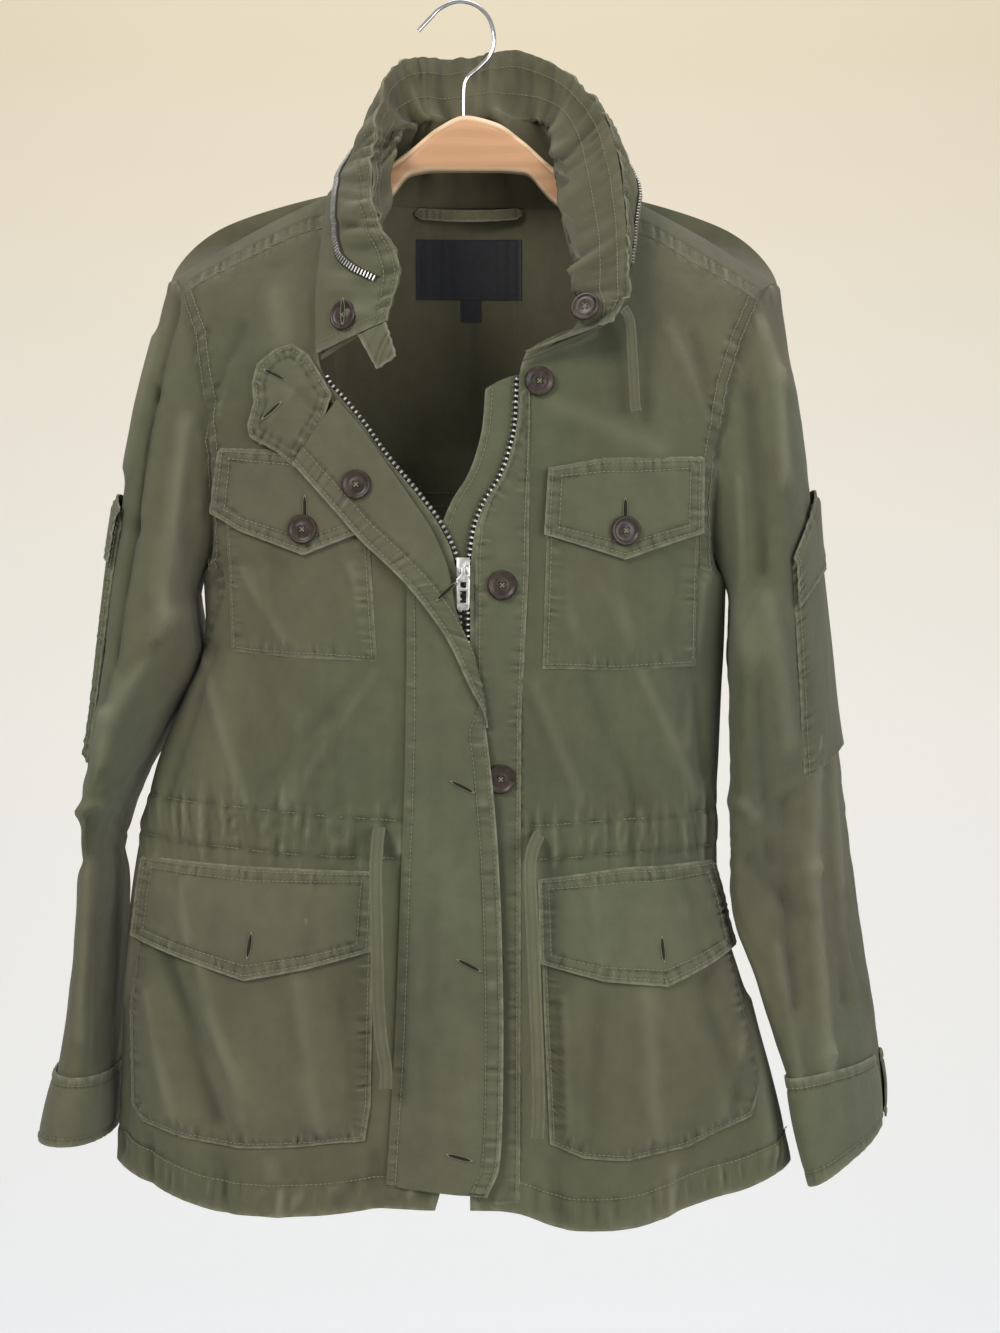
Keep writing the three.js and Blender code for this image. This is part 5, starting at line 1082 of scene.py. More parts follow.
cloth("storm_flap_cloth", points, np.array([0, -1, 0]), 1.2, np.where(on_flat, relief, -0.7 * relief),
      relief - 0.85 * crease, 0.9 * np.exp(-inner_edge / 1.5) + 0.4 * np.exp(-np.abs(run - flat_run) / 2.5),
      material=CANVAS_FACE, nodes=["storm_flap"], inward=1)

TAB_TOP = [(-115, -250), (-104, -257), (-97, -268), (-88, -284)]
TAB_LEFT = [(-115, -250), (-126, -253), (-138, -263), (-141.5, -277), (-140, -288),
            (-144.5, -304), (-143, -312), (-136, -316)]
TAB_BOTTOM = [(-136, -316), (-124, -323), (-113, -333)]
TAB_RIGHT = [(-88, -284), (-93, -300), (-113, -333)]
sewn_patch("storm_tab_cloth", (TAB_TOP, TAB_BOTTOM, TAB_LEFT, TAB_RIGHT), 40, 34,
           lambda u, v, border: 5.0 + 1.6 * np.sin(np.pi * u) * np.sin(np.pi * v) + 1.2 * (1 - v), 73, CANVAS_FACE,
           ["storm_flap_tab"], stitch=(3.0, 8.0), pucker=0.8,
           folds=[(-134, -262, -104, -290, 5, -1.4), (-128, -300, -108, -276, 6, 1.2)])
print("storm flap made")

# %% [markdown]
# ## Collar
# The tall collar holds a stowed hood, so it is thick, gathered and soft. The outer layer carries
# the pouch's zip; the inner one swells over the hood and rolls to the rim.

# %% Collar
COLLAR_ROWS = "bx by bz rx ry rz sx sy sz"
COLLAR = table(COLLAR_ROWS, [
    (-99, -70, -256, -50, -96, -238, -72, -84, -258), (-100, -62, -218, -42, -93, -202, -62, -70, -212),
    (-98, -44, -178, -57, -82, -168, -54, -46, -170), (-95, -14, -136, -63, -60, -137, -46, -30, -112),
    (-91, 13, -130, -62, -33, -97, -42, -2, -88), (-72, 34, -129.5, -54, -2, -48, -34, 12, -82),
    (-40, 43, -130, -34, 28, -30, -22, 18, -76), (0, 47, -130, -2, 38, -28, 0, 20, -74),
    (46, 45, -130, 31, 34, -23, 28, 19, -74), (82, 35, -131, 59, 22, -34, 50, 12, -78),
    (106, 14, -132, 84, 2, -58, 58, -2, -92), (113, -13, -137, 101, -20, -90, 58, -26, -122),
    (114, -36, -166, 108, -42, -125, 62, -48, -158), (110, -55, -204, 111, -64, -172, 70, -68, -196),
    (92, -67, -236, 111, -84, -214, 70, -84, -216), (42, -73, -256, 100, -91, -238, 66, -88, -232)])


def collar_line(kind, k):
    return np.stack([by_row(COLLAR, f"{kind}{axis}")(k) for axis in "xyz"], axis=-1)


def from_neck(points):
    away = points - np.array([NECK_MIDDLE, -20, 0])
    away[..., 2] = 0
    return unit(away)


def collar_outer(k, v):
    base, rim = collar_line("b", k), collar_line("r", k)
    points = mix(base, rim, v[..., None])
    swell = 7 * np.sin(np.pi * v) * ease(k, 0, 1.5) * (1 - ease(k, 12, 14))
    return points + from_neck(points) * swell[..., None]


HOOD_ZIP = table("k v", [(0.9, 0.76), (1.25, 0.55), (1.6, 0.44), (2.2, 0.42), (3.5, 0.46), (7, 0.5), (13.2, 0.5)])
hood_zip = reader(HOOD_ZIP, "k", "v")


def collar_relief(k, v):
    """Heights of the collar's soft folds and of its sewn rim."""
    run, rim = k * 22, (1 - v) * 75
    deep = 2.6 * waver(run, 81, 17) * ease(v, 0.05, 0.5) + 1.3 * waver(run + 14 * v, 82, 8) * ease(v, 0.1, 0.5)
    stiff = 1 - 0.85 * np.exp(-(((v - hood_zip(k)) * 75 / 11) ** 2)) * ease(k, 0.6, 1)
    deep = deep * stiff + 2.2 * waver(run + 30 * v, 83, 48) * np.sin(np.pi * v)
    sewn = -0.8 * np.exp(-((rim - 4) / 1.2) ** 2) - 0.8 * np.exp(-((rim - 12) / 1.2) ** 2)
    sewn = sewn + 1.6 * waver(run, 84, 7) * np.exp(-((rim - 7) / 8) ** 2)
    ends = ease(k, 0, 0.5) * (1 - ease(k, 14.5, 15))
    return deep * (0.3 + 0.7 * ends) * ease(v, 0, 0.12), sewn, ends


v, k = grid(56, 240, 0, 1, 0, 15)
points = collar_outer(k, v)
deep, sewn, ends = collar_relief(k, v)
collar_run, rim = k * 22, (1 - v) * 75
collar = cloth("collar_cloth", points, from_neck(points), 1.4, deep + sewn, 0.35 * deep + sewn,
               0.9 * np.exp(-rim / 2) + 0.6 * np.exp(-np.minimum(k, 15 - k) * 22 / 2.5), material=CANVAS,
               nodes=["collar"])

outer_edge = collar_outer(k[:1], v[:1])[0]
outer_rim = collar_outer(k[-1:], v[-1:])[0]
base_in = outer_edge - from_neck(outer_edge) * 4.5 + np.array([0, 0, -4.5])
rim_in = outer_rim - from_neck(outer_rim) * 1.6
swollen = collar_line("s", k)
straight = mix(base_in[None], rim_in[None], v[..., None])
full = ease(k, 0, 1.2) * (1 - ease(k, 13.8, 15)) * 0.9
points = mix(straight, swollen, (np.sin(np.pi * v) * full)[..., None])
plump = 6.0 * waver(collar_run + 26 * v, 85, 40) * np.sin(np.pi * v) ** 0.7
fine = 3.0 * waver(collar_run + 9 * v, 86, 15) * np.sin(np.pi * np.minimum(1, v * 0.9 + 0.1)) + 0.8 * waver(
    collar_run - 12 * v, 87, 7.5) * ease(v, 0.5, 0.95)
within = ease(1 - v, 0, 0.1) * ease(v, 0, 0.1)
relief = (plump + fine) * (0.25 + 0.75 * ends) * within - (deep + sewn) * ease(v, 0.8, 1)
inside = cloth("collar_inside_cloth", points, -from_neck(points), 1.3, relief,
               0.22 * plump + 0.5 * fine, 0.6 * np.exp(-rim / 2), material=CANVAS_INNER,
               nodes=["collar_lining"])
print("collar", len(collar.data.polygons), len(inside.data.polygons), "faces")

# %% [markdown]
# ## Strips and facings
# Inside the open front the wind flap stands behind the zip. The button strip lies on the right
# front. Each is a long narrow net that follows the zip's open line.

# %% Strips


def edge_strip(name, side, near, far, top, bottom, behind, rows, columns, thick, material, nodes,
               round_top=0.0, ripple=0.0, seed=0):
    """A strip beside the teeth line of one front, between two distances from it."""
    sign = -1 if side == "left" else 1
    v, u = grid(rows, columns)
    z = mix(top, bottom, v)
    line = teeth[side](z)
    x = line + sign * mix(near, far, u)
    y = front_y(line + sign * near, z) + behind
    down = np.where(v < 0.06, round_top * (1 - v / 0.06) * u**2, 0)
    points = np.stack([x, y, z - down], axis=-1)
    width = abs(far - near)
    border = np.minimum(u, 1 - u) * width
    relief = ripple * waver((top - z), seed, 9) * np.exp(-((border - 3) / 3) ** 2)
    relief = relief - 0.4 * np.exp(-((border - 5) / 1) ** 2)
    return cloth(name, points, np.array([0, -1, 0]), thick, relief, relief, 0.7 * np.exp(-border / 1.5),
                 material=material, nodes=nodes)


tape_material, tree, surface = new_material("zip_tape")
uv = node(tree, "ShaderNodeUVMap").outputs["UV"]
cut = node(tree, "ShaderNodeSeparateXYZ", {0: uv})
rib = math_node(tree, "SINE", math_node(tree, "MULTIPLY", cut.outputs["X"], 2 * math.pi / 0.0009))
bar = math_node(tree, "SINE", math_node(tree, "MULTIPLY", cut.outputs["Y"], 2 * math.pi / 0.0007))
knit = math_node(tree, "MULTIPLY", rib, bar)
tree.links.new(ramp(tree, math_node(tree, "ADD", math_node(tree, "MULTIPLY", knit, 0.4), 0.5),
                    [(0.1, (0.020, 0.018, 0.011)), (0.9, (0.052, 0.045, 0.028))]), surface.inputs["Base Color"])
tree.links.new(node(tree, "ShaderNodeBump", {"Height": knit, "Strength": 0.6, "Distance": 0.0002}).outputs[0],
               surface.inputs["Normal"])
surface.inputs["Roughness"].default_value = 0.85
for side in ("left", "right"):
    edge_strip(f"zip_tape_{side}_woven", side, 11, 0.5, -271, -765, 2.4, 240, 10, 0.7, tape_material,
               [f"zip_tape_{side}"])
edge_strip("wind_flap_cloth", "right", 9, -19, -269, -765, 4.2, 240, 20, 1.4, CANVAS_FACE,
           ["wind_flap"], 10, 0.6, 91)
STRIP = ([(38, -283), (46, -276)], [(8, -826), (38, -826)],
         [(38, -283), (37, -302), (32, -324), (26, -339), (16, -355), (10, -372), (8, -392),
          (8, -500), (8, -826)],
         [(45, -276), (44, -400), (39, -500), (38, -826)])
sewn_patch("button_strip_cloth", STRIP, 230, 16, flat(1.9, 2), 92, CANVAS_FACE, ["button_strip"], stitch=(3.0,),
           pucker=0.6, thick=1.1)

# %% [markdown]
# ## Sleeve pockets
# A long bellows pocket sits on the outer side of each upper arm, with a flap over its top.

# %% Sleeve pockets


POCKET_TURN = {"left": -20, "right": 20}   # degrees round the sleeve, toward the back and toward the front


def sleeve_patch(name, side, rows_at, half, lift, seed, nodes, rows, columns, material, bottom_point=0.0):
    """A patch on a sleeve between two rows of its table, centred on the outer edge."""
    v, u = grid(rows, columns)
    j = mix(rows_at[0], rows_at[1] + bottom_point * (1 - np.abs(2 * u - 1)), v)
    angle = np.radians(mix(-half, half, u) + POCKET_TURN[side])
    points = sleeve_points(side, j, angle)
    out = sleeve_out(side, j, points)
    normals = net_normals(points)
    normals = normals * np.sign((normals * out).sum())
    border = np.minimum(np.minimum(u, 1 - u) * half * 1.9, np.minimum(v, 1 - v) * abs(rows_at[1] - rows_at[0]) * 36)
    run = np.where(np.minimum(u, 1 - u) * half * 1.9 < np.minimum(v, 1 - v) * 200, j * 36, angle * 55)
    relief = 1.1 * waver(run, seed, 7.5) * np.exp(-((border - 4) / 5) ** 2) - 0.9 * np.exp(-((border - 3) / 1.0) ** 2)
    placed = points + normals * lift(v, border)[..., None]
    return cloth(name, placed, out, 1.3, relief, relief, 0.85 * np.exp(-border / 1.5), material=material, nodes=nodes)


for side in ("left", "right"):
    sleeve_patch(f"sleeve_pocket_{side}_cloth", side, (4.3, 9), 60, lambda v, b: 1.0 + 4.2 * ease(b, 0, 5), 95,
                 [f"sleeve_pocket_{side}"], 70, 56, CANVAS)
    sleeve_patch(f"sleeve_flap_{side}_cloth", side, (4, 5.15), 62, lambda v, b: 4.4 + 2.6 * ease(v, 0, 0.2), 97,
                 [f"sleeve_flap_{side}"], 26, 56, CANVAS_FACE, 0.35)
print("strips and sleeve pockets made")

# %% [markdown]
# ## Flat cords
# The outline of each cord is swept along its path, and pressed a little by its own stitching.
# Its stitch lines are drawn as lines of painted shade.

# %% Flat cords


def flat_cord(name, path, wide, thick):
    """A flat strip with rounded edges along a path in millimetres."""
    direction = unit(np.gradient(path, axis=0))
    across = unit(np.cross(direction, np.array([0, -1, 0.15])))
    face = unit(np.cross(across, direction))
    angle = np.linspace(0, 2 * np.pi, 21)
    c, s = power(np.cos(angle), 0.5), power(np.sin(angle), 0.8)
    run = np.arange(len(path))[:, None]
    press = 1 + 0.12 * waver(run, 101, 5.0)
    points = path[:, None] + across[:, None] * (wide / 2 * c)[None, :, None] + (
        face[:, None] * (thick / 2 * s)[None, :, None] * press[..., None])
    # Painted shade: the stitch lines are darker lines in the relief attribute, with no groove in the form.
    stitch = -0.35 * np.exp(-((np.abs(c) - 0.55) / 0.12) ** 2) * np.ones_like(run)
    edge = 0.7 * np.exp(-(1 - np.abs(c)) / 0.12) * np.ones_like(run)
    normals = net_normals(points, True)
    out = points - path[:, None]
    if (normals * out).sum() < 0:
        normals = -normals
    bpy.ops.mesh.primitive_grid_add(x_subdivisions=20, y_subdivisions=len(path) - 1, size=1, calc_uvs=True)
    piece = bpy.context.object
    piece.name = piece.data.name = name + "_strip"
    mesh = piece.data
    mesh.vertices.foreach_set("co", (points * MM).reshape(-1).astype(np.float32))
    corner = np.empty(len(mesh.loops), int)
    mesh.loops.foreach_get("vertex_index", corner)
    u, v = np.meshgrid(np.linspace(0, wide * 2 * MM, 21), np.linspace(0, len(path) * 3 * MM, len(path)))
    laid = np.stack([u, v], -1).reshape(-1, 2)[corner]
    mesh.uv_layers[0].data.foreach_set("uv", laid.reshape(-1).astype(np.float32))
    for key, values in (("relief", stitch * 2), ("edge", edge)):
        mesh.attributes.new(key, "FLOAT", "POINT").data.foreach_set("value", values.reshape(-1).astype(np.float32))
    activate(piece)
    bpy.ops.object.mode_set(mode="EDIT")
    bpy.ops.mesh.select_all(action="SELECT")
    bpy.ops.mesh.remove_doubles(threshold=0.00001)
    bpy.ops.mesh.select_mode(type="EDGE")
    bpy.ops.mesh.select_all(action="DESELECT")
    bpy.ops.mesh.select_non_manifold()
    bpy.ops.mesh.fill_holes(sides=0)
    bpy.ops.mesh.select_all(action="SELECT")
    bpy.ops.mesh.normals_make_consistent(inside=False)
    bpy.ops.object.mode_set(mode="OBJECT")
    bpy.ops.object.shade_smooth_by_angle(angle=math.radians(50))
    return piece


for name, cord in CORDS.items():
    path, length = cord_paths[name]
    strip = flat_cord(name, path, cord["wide"], cord["thick"])
    finish_piece(strip, TIE, [name])

# %% [markdown]
# ## Zip
# The teeth are small pressed metal blocks. One is modelled, arrayed along the teeth line of each
# front and bent to it. Below the slider the two rows mesh.

# %% Zip
nickel, tree, surface = new_material("zip_nickel")
spots = node(tree, "ShaderNodeTexNoise", {"Scale": 300.0, "Detail": 4.0,
                                          "Vector": node(tree, "ShaderNodeTexCoord").outputs["Object"]})
tree.links.new(ramp(tree, spots.outputs["Fac"], [(0.3, (0.46, 0.45, 0.42)), (0.7, (0.80, 0.79, 0.75))]),
               surface.inputs["Base Color"])
dull = node(tree, "ShaderNodeMapRange", {"Value": spots.outputs["Fac"], 3: 0.28, 4: 0.5})
tree.links.new(dull.outputs[0], surface.inputs["Roughness"])
tree.links.new(node(tree, "ShaderNodeBump", {"Height": spots.outputs["Fac"], "Strength": 0.2,
                                             "Distance": 0.0002}).outputs[0], surface.inputs["Normal"])
surface.inputs["Metallic"].default_value = 1.0


def line_object(name, points):
    """A poly curve through points in millimetres."""
    data = bpy.data.curves.new(name, "CURVE")
    data.dimensions = "3D"
    spline = data.splines.new("POLY")
    spline.points.add(len(points) - 1)
    spline.points.foreach_set("co", np.column_stack([points * MM, np.ones(len(points))]).reshape(-1))
    made = bpy.data.objects.new(name, data)
    bpy.context.scene.collection.objects.link(made)
    return made


def array_on_line(template, name, points, pitch):
    """Copies of a small part along a line, bent to it. The part lies along X and faces Z."""
    curve = line_object(name + "_line", points)
    activate(template)
    bpy.ops.object.duplicate()
    copy = bpy.context.object
    copy.name = copy.data.name = name
    array = copy.modifiers.new("array", "ARRAY")
    array.fit_type = "FIT_CURVE"
    array.curve = curve
    array.use_relative_offset = False
    array.use_constant_offset = True
    array.constant_offset_displace = (pitch * MM, 0, 0)
    bend = copy.modifiers.new("bend", "CURVE")
    bend.object = curve
    bend.deform_axis = "POS_X"
    bpy.ops.object.modifier_apply(modifier="array")
    bpy.ops.object.modifier_apply(modifier="bend")
    bpy.data.objects.remove(curve)
    return copy


def join(pieces, name):
    activate(pieces[0])
    for piece in pieces:
        piece.select_set(True)
    if len(pieces) > 1:
        bpy.ops.object.join()
    made = bpy.context.object
    made.name = made.data.name = name
    return made


bpy.ops.mesh.primitive_cube_add(size=1)
tooth = bpy.context.object
tooth.name = "tooth"
bpy.ops.object.mode_set(mode="EDIT")
bpy.ops.transform.resize(value=(1.8 * MM, 4.4 * MM, 2.7 * MM), center_override=(0, 0, 0))
bpy.ops.mesh.bevel(offset=0.45 * MM, segments=1)
bpy.ops.object.mode_set(mode="OBJECT")
TOOTH_PITCH = 3.9
rows_of_teeth = []
for side, sign in (("left", -1), ("right", 1)):
    z = np.linspace(-271, -765, 600)
    x = teeth[side](z) + sign * 1.6
    line = np.column_stack([x, front_y(x, z) + 0.9, z - (0 if side == "left" else TOOTH_PITCH / 2)])
    rows_of_teeth.append(array_on_line(tooth, f"zip_teeth_{side}", line, TOOTH_PITCH))
tooth_row = join(rows_of_teeth, "zip_teeth")
tooth_row.data.materials.clear()
finish_piece(tooth_row, nickel, [])
bpy.data.objects.remove(tooth)
print("zip teeth", len(tooth_row.data.polygons), "faces")

# %% [markdown]
# ## Buttons
# Brown resin buttons with a raised rim and four holes. One is turned from a profile, drilled, and
# copied to each place with its crossed sewing thread.

# %% Buttons
resin, tree, surface = new_material("button_resin")
cloud = node(tree, "ShaderNodeTexNoise", {"Scale": 140.0, "Detail": 5.0, "Distortion": 1.5,
                                          "Vector": node(tree, "ShaderNodeTexCoord").outputs["Object"]})
tree.links.new(ramp(tree, cloud.outputs["Fac"], [(0.3, (0.014, 0.009, 0.006)), (0.62, (0.052, 0.032, 0.022))]),
               surface.inputs["Base Color"])
gloss = node(tree, "ShaderNodeMapRange", {"Value": cloud.outputs["Fac"], 3: 0.28, 4: 0.46})
tree.links.new(gloss.outputs[0], surface.inputs["Roughness"])
tree.links.new(node(tree, "ShaderNodeBump", {"Height": cloud.outputs["Fac"], "Strength": 0.12,
                                             "Distance": 0.0003}).outputs[0], surface.inputs["Normal"])
thread, tree, surface = new_material("sewing_thread")
ply = node(tree, "ShaderNodeTexWave", {"Scale": 900.0, "Distortion": 2.0,
                                       "Vector": node(tree, "ShaderNodeTexCoord").outputs["Object"]})
tree.links.new(ramp(tree, ply.outputs["Fac"], [(0.2, (0.150, 0.150, 0.092)), (0.8, (0.260, 0.252, 0.170))]),
               surface.inputs["Base Color"])
tree.links.new(node(tree, "ShaderNodeBump", {"Height": ply.outputs["Fac"], "Strength": 0.4,
                                             "Distance": 0.0001}).outputs[0], surface.inputs["Normal"])
surface.inputs["Roughness"].default_value = 0.8

BUTTON_PROFILE = [(0.05, 0.0), (9.2, 0.0), (9.9, 0.6), (10.1, 1.4), (9.8, 2.4), (9.2, 2.95), (8.5, 3.0), (7.9, 2.7),
                  (7.3, 2.2), (6.4, 1.95), (4.4, 1.9), (3.9, 2.1), (0.05, 2.1)]
profile = bpy.data.meshes.new("button_master")
profile.from_pydata([(r * MM, 0, h * MM) for r, h in BUTTON_PROFILE],
                    [(k, k + 1) for k in range(len(BUTTON_PROFILE) - 1)], [])
master = bpy.data.objects.new("button_master", profile)
bpy.context.scene.collection.objects.link(master)
activate(master)
bpy.ops.object.mode_set(mode="EDIT")
bpy.ops.mesh.select_all(action="SELECT")
bpy.ops.mesh.spin(steps=40, angle=2 * math.pi, center=(0, 0, 0), axis=(0, 0, 1))
bpy.ops.mesh.select_all(action="SELECT")
bpy.ops.mesh.remove_doubles(threshold=0.00008)
bpy.ops.mesh.normals_make_consistent(inside=False)
bpy.ops.object.mode_set(mode="OBJECT")
HOLE_AT = [(2.0 * math.cos(turn * math.pi / 4), 2.0 * math.sin(turn * math.pi / 4)) for turn in (1, 3, 5, 7)]
drills = []
for hx, hy in HOLE_AT:
    bpy.ops.mesh.primitive_cylinder_add(vertices=12, radius=0.95 * MM, depth=12 * MM,
                                        location=(hx * MM, hy * MM, 0))
    drills.append(bpy.context.object)
drill = join(drills, "drill")
drilled = master.modifiers.new("holes", "BOOLEAN")
drilled.object = drill
drilled.operation = "DIFFERENCE"
activate(master)
bpy.ops.object.modifier_apply(modifier="holes")
bpy.data.objects.remove(drill)
bpy.ops.object.shade_smooth_by_angle(angle=math.radians(35))
master.data.materials.append(resin)
bpy.ops.mesh.primitive_cylinder_add(vertices=8, radius=0.42 * MM, depth=4.4 * MM,
                                    rotation=(0, math.radians(90), math.radians(45)))
bar = bpy.context.object
bar.location = (0, 0, 2.3 * MM)
activate(bar)
bpy.ops.object.transform_apply(location=True, rotation=True, scale=True)
bpy.ops.object.duplicate()
cross = bpy.context.object
cross.rotation_euler = (0, 0, math.radians(90))
bpy.ops.object.transform_apply(location=False, rotation=True, scale=False)
sewn = join([bar, cross], "button_thread_master")
sewn.data.materials.append(thread)


def place_copy(template, name, at, normal, material, nodes):
    """A copy of a part made facing +Z, set at a place in metres and turned to face a normal."""
    activate(template)
    bpy.ops.object.duplicate()
    copy = bpy.context.object
    copy.name = copy.data.name = name
    copy.rotation_mode = "QUATERNION"
    copy.rotation_quaternion = Vector(normal).to_track_quat("Z", "Y")
    copy.location = at
    bpy.ops.object.transform_apply(location=True, rotation=True, scale=True)
    finish_piece(copy, material, nodes)
    return copy


def node_normal(name):
    """The outward face normal of a flat disc among the CAD nodes: its direction of least spread."""
    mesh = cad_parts[name].data
    co = np.empty(len(mesh.vertices) * 3, np.float32)
    mesh.vertices.foreach_get("co", co)
    co = co.reshape(-1, 3)
    centre = co.mean(axis=0)
    _, _, axes = np.linalg.svd(co - centre)
    normal = axes[2] * (1 if axes[2][1] < 0 else -1)
    low = ((co - centre) @ normal).min()
    middle = (co.min(axis=0) + co.max(axis=0)) / 2
    centre = centre - normal * ((centre - middle) @ normal)
    return centre, normal, low


for name in [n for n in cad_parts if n.startswith("button_") and n != "button_strip"]:
    centre, normal, low = node_normal(name)
    at = centre - normal * 1.5 * MM
    if name in ("button_front_lower", "button_front_hem"):
        at = at - np.array([5, 0, 0]) * MM          # well under the storm flap's edge
    place_copy(master, name + "_resin", at, normal, resin, [name])
    place_copy(sewn, name + "_thread", at, normal, thread, [])
bpy.data.objects.remove(master)
bpy.data.objects.remove(sewn)
print("buttons placed")

# %% [markdown]
# ## Slider and pull
# The slider and its pull are cast metal. Their forms are right already, so copies of them get soft
# edges, as tumbling leaves on such parts.

# %% Slider and pull


def softened(name, new_name, bevel, material, body=BODY):
    """A merged copy of a hard CAD node with rounded edges."""
    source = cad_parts[name]
    copy = bpy.data.objects.new(new_name, source.data.copy())
    bpy.context.scene.collection.objects.link(copy)
    activate(copy)
    bpy.ops.object.mode_set(mode="EDIT")
    bpy.ops.mesh.select_all(action="SELECT")
    bpy.ops.mesh.remove_doubles(threshold=0.00002)
    bpy.ops.mesh.dissolve_limited(angle_limit=math.radians(2))
    bpy.ops.mesh.normals_make_consistent(inside=False)
    bpy.ops.object.mode_set(mode="OBJECT")
    edge = copy.modifiers.new("edges", "BEVEL")
    edge.width = bevel * MM
    edge.segments = 2
    edge.limit_method = "ANGLE"
    bpy.ops.object.modifier_apply(modifier="edges")
    bpy.ops.object.shade_smooth_by_angle(angle=math.radians(40))
    finish_piece(copy, material, [name], body)
    return copy


softened("zip_slider", "slider_cast", 0.35, nickel)
softened("zip_pull", "pull_cast", 0.3, nickel, "zip_pull_tab")

# %% [markdown]
# ## Neck trim
# A bare black satin label and its small tab lie on the yoke, under a hanging loop of canvas. A tab
# of canvas hangs at the collar's left corner, and the pouch's zip runs round the collar.

# %% Neck trim


def yoke_inside(x, z):
    """Y of the yoke's inner face near the middle of the neck, from the nearest points of its net."""
    points = NETS["yoke_cloth"][0][:UP_ROWS].reshape(-1, 3)
    points = points[np.abs(points[:, 0]) < 75]
    flat_x, flat_z = x.reshape(-1, 1), z.reshape(-1, 1)
    near = 1 / ((points[:, 0] - flat_x) ** 2 + (points[:, 2] - flat_z) ** 2 + 2.0) ** 2
    return ((near * points[:, 1]).sum(axis=1) / near.sum(axis=1)).reshape(x.shape) - 1.4


satin, tree, surface = new_material("label_satin")
uv = node(tree, "ShaderNodeUVMap").outputs["UV"]
cut = node(tree, "ShaderNodeSeparateXYZ", {0: uv})
rib = math_node(tree, "SINE", math_node(tree, "MULTIPLY", cut.outputs["Y"], 2 * math.pi / 0.0005))
dust = node(tree, "ShaderNodeTexNoise", {"Vector": uv, "Scale": 260.0, "Detail": 4.0})
weight = math_node(tree, "ADD", math_node(tree, "MULTIPLY", rib, 0.12), dust.outputs["Fac"])
tree.links.new(ramp(tree, weight, [(0.35, (0.0032, 0.0038, 0.0070)), (0.75, (0.0085, 0.0095, 0.0150))]),
               surface.inputs["Base Color"])
tree.links.new(node(tree, "ShaderNodeBump", {"Height": rib, "Strength": 0.3, "Distance": 0.0001}).outputs[0],
               surface.inputs["Normal"])
surface.inputs["Roughness"].default_value = 0.55
for name, x0, x1, z0, z1, rows, columns, proud in (("label", -36, 40, -157, -200, 26, 44, 0.8),
                                                 ("size_tab", -4, 11, -198, -216, 14, 12, 0.5)):
    v, u = grid(rows, columns)
    x, z = mix(x0, x1, u), mix(z0, z1, v)
    points = np.stack([x, yoke_inside(x, z) - proud, z], axis=-1)
    border = np.minimum(np.minimum(u, 1 - u) * (x1 - x0), np.minimum(v, 1 - v) * (z0 - z1))
    relief = 0.08 * waver(x, 111, 14) - 0.3 * np.exp(-((border - 1.6) / 0.6) ** 2)
    cloth(name + "_satin", points, np.array([0, -1, 0]), 0.6, relief, relief, np.exp(-border), material=satin,
          nodes=[name])

v, u = grid(10, 90)
half_width = 4 * np.minimum(1, np.minimum(u, 1 - u) * 14 + 0.25)
x = 2 + 78 * (u - 0.5)
bow = 1 - 4 * (u - 0.5) ** 2
z = -139 - 3 * bow + (0.5 - v) * 2 * half_width
points = np.stack([x, back_y(x, np.full(x.shape, -139.0)) - 7.4 - 5 * bow, z], axis=-1)
border = np.minimum(v, 1 - v) * 8
relief = 0.35 * waver(x, 112, 6) - 0.4 * np.exp(-((border - 1.5) / 0.6) ** 2)
cloth("hanging_loop_strip", points, np.array([0, -1, 0]), 1.5, relief, relief, np.exp(-border / 0.8), material=TIE,
      nodes=["hanging_loop"])

NECK_TAB = np.array([(-70, -86.4, -246.4), (-51, -96.4, -239.4), (-44, -98, -262), (-57, -93, -270)], float)
v, u = grid(24, 22)
v, u = v[..., None], u[..., None]
points = mix(mix(NECK_TAB[0], NECK_TAB[1], u), mix(NECK_TAB[3], NECK_TAB[2], u), v)
border = (np.minimum(np.minimum(u, 1 - u) * 18, np.minimum(v + 0.3, 1 - v) * 24))[..., 0]
relief = 0.7 * waver(u[..., 0] * 18 + v[..., 0] * 30, 113, 9) - 0.5 * np.exp(-((border - 2.5) / 0.9) ** 2)
cloth("collar_tab_strip", points, np.array([0, -1, 0]), 1.5, relief, relief, np.exp(-border / 1.2), material=TIE,
      nodes=["collar_tab"])

share, across = grid(260, 8)
k = mix(0.9, 13.2, share**1.25)
v = hood_zip(k) + (across - 0.5) * 9 / 75
deep, sewn, _ = collar_relief(k, v)
base = collar_outer(k, v)
normals = net_normals(base)
normals = normals * np.sign((normals * from_neck(base)).sum())
points = base + normals * (deep + 0.8)[..., None]
border = np.minimum(across, 1 - across) * 9
cloth("collar_zip_tape", points, from_neck(base), 0.6, None, None, None, material=tape_material,
      nodes=["collar_zip"])
HOOD_PITCH = 2.5
run = np.concatenate([[0], np.cumsum(np.linalg.norm(np.diff(points[:, 4], axis=0), axis=1))])
places = np.arange(0, run[-1], HOOD_PITCH)
centre = np.column_stack([np.interp(places, run, (points + normals * 0.8)[:, 4, axis]) for axis in range(3)])
facing = unit(np.column_stack([np.interp(places, run, normals[:, 4, axis]) for axis in range(3)]))
heading = np.gradient(centre, axis=0)
heading = unit(heading - facing * (heading * facing).sum(axis=1, keepdims=True))
bpy.ops.mesh.primitive_cube_add(size=1)
tooth = bpy.context.object
bpy.ops.object.mode_set(mode="EDIT")
bpy.ops.transform.resize(value=(1.15 * MM, 4.2 * MM, 1.8 * MM), center_override=(0, 0, 0))
bpy.ops.mesh.bevel(offset=0.25 * MM, segments=1)
bpy.ops.object.mode_set(mode="OBJECT")
corners = np.array([vertex.co for vertex in tooth.data.vertices])
many = tooth.modifiers.new("teeth", "ARRAY")
many.count = len(places)
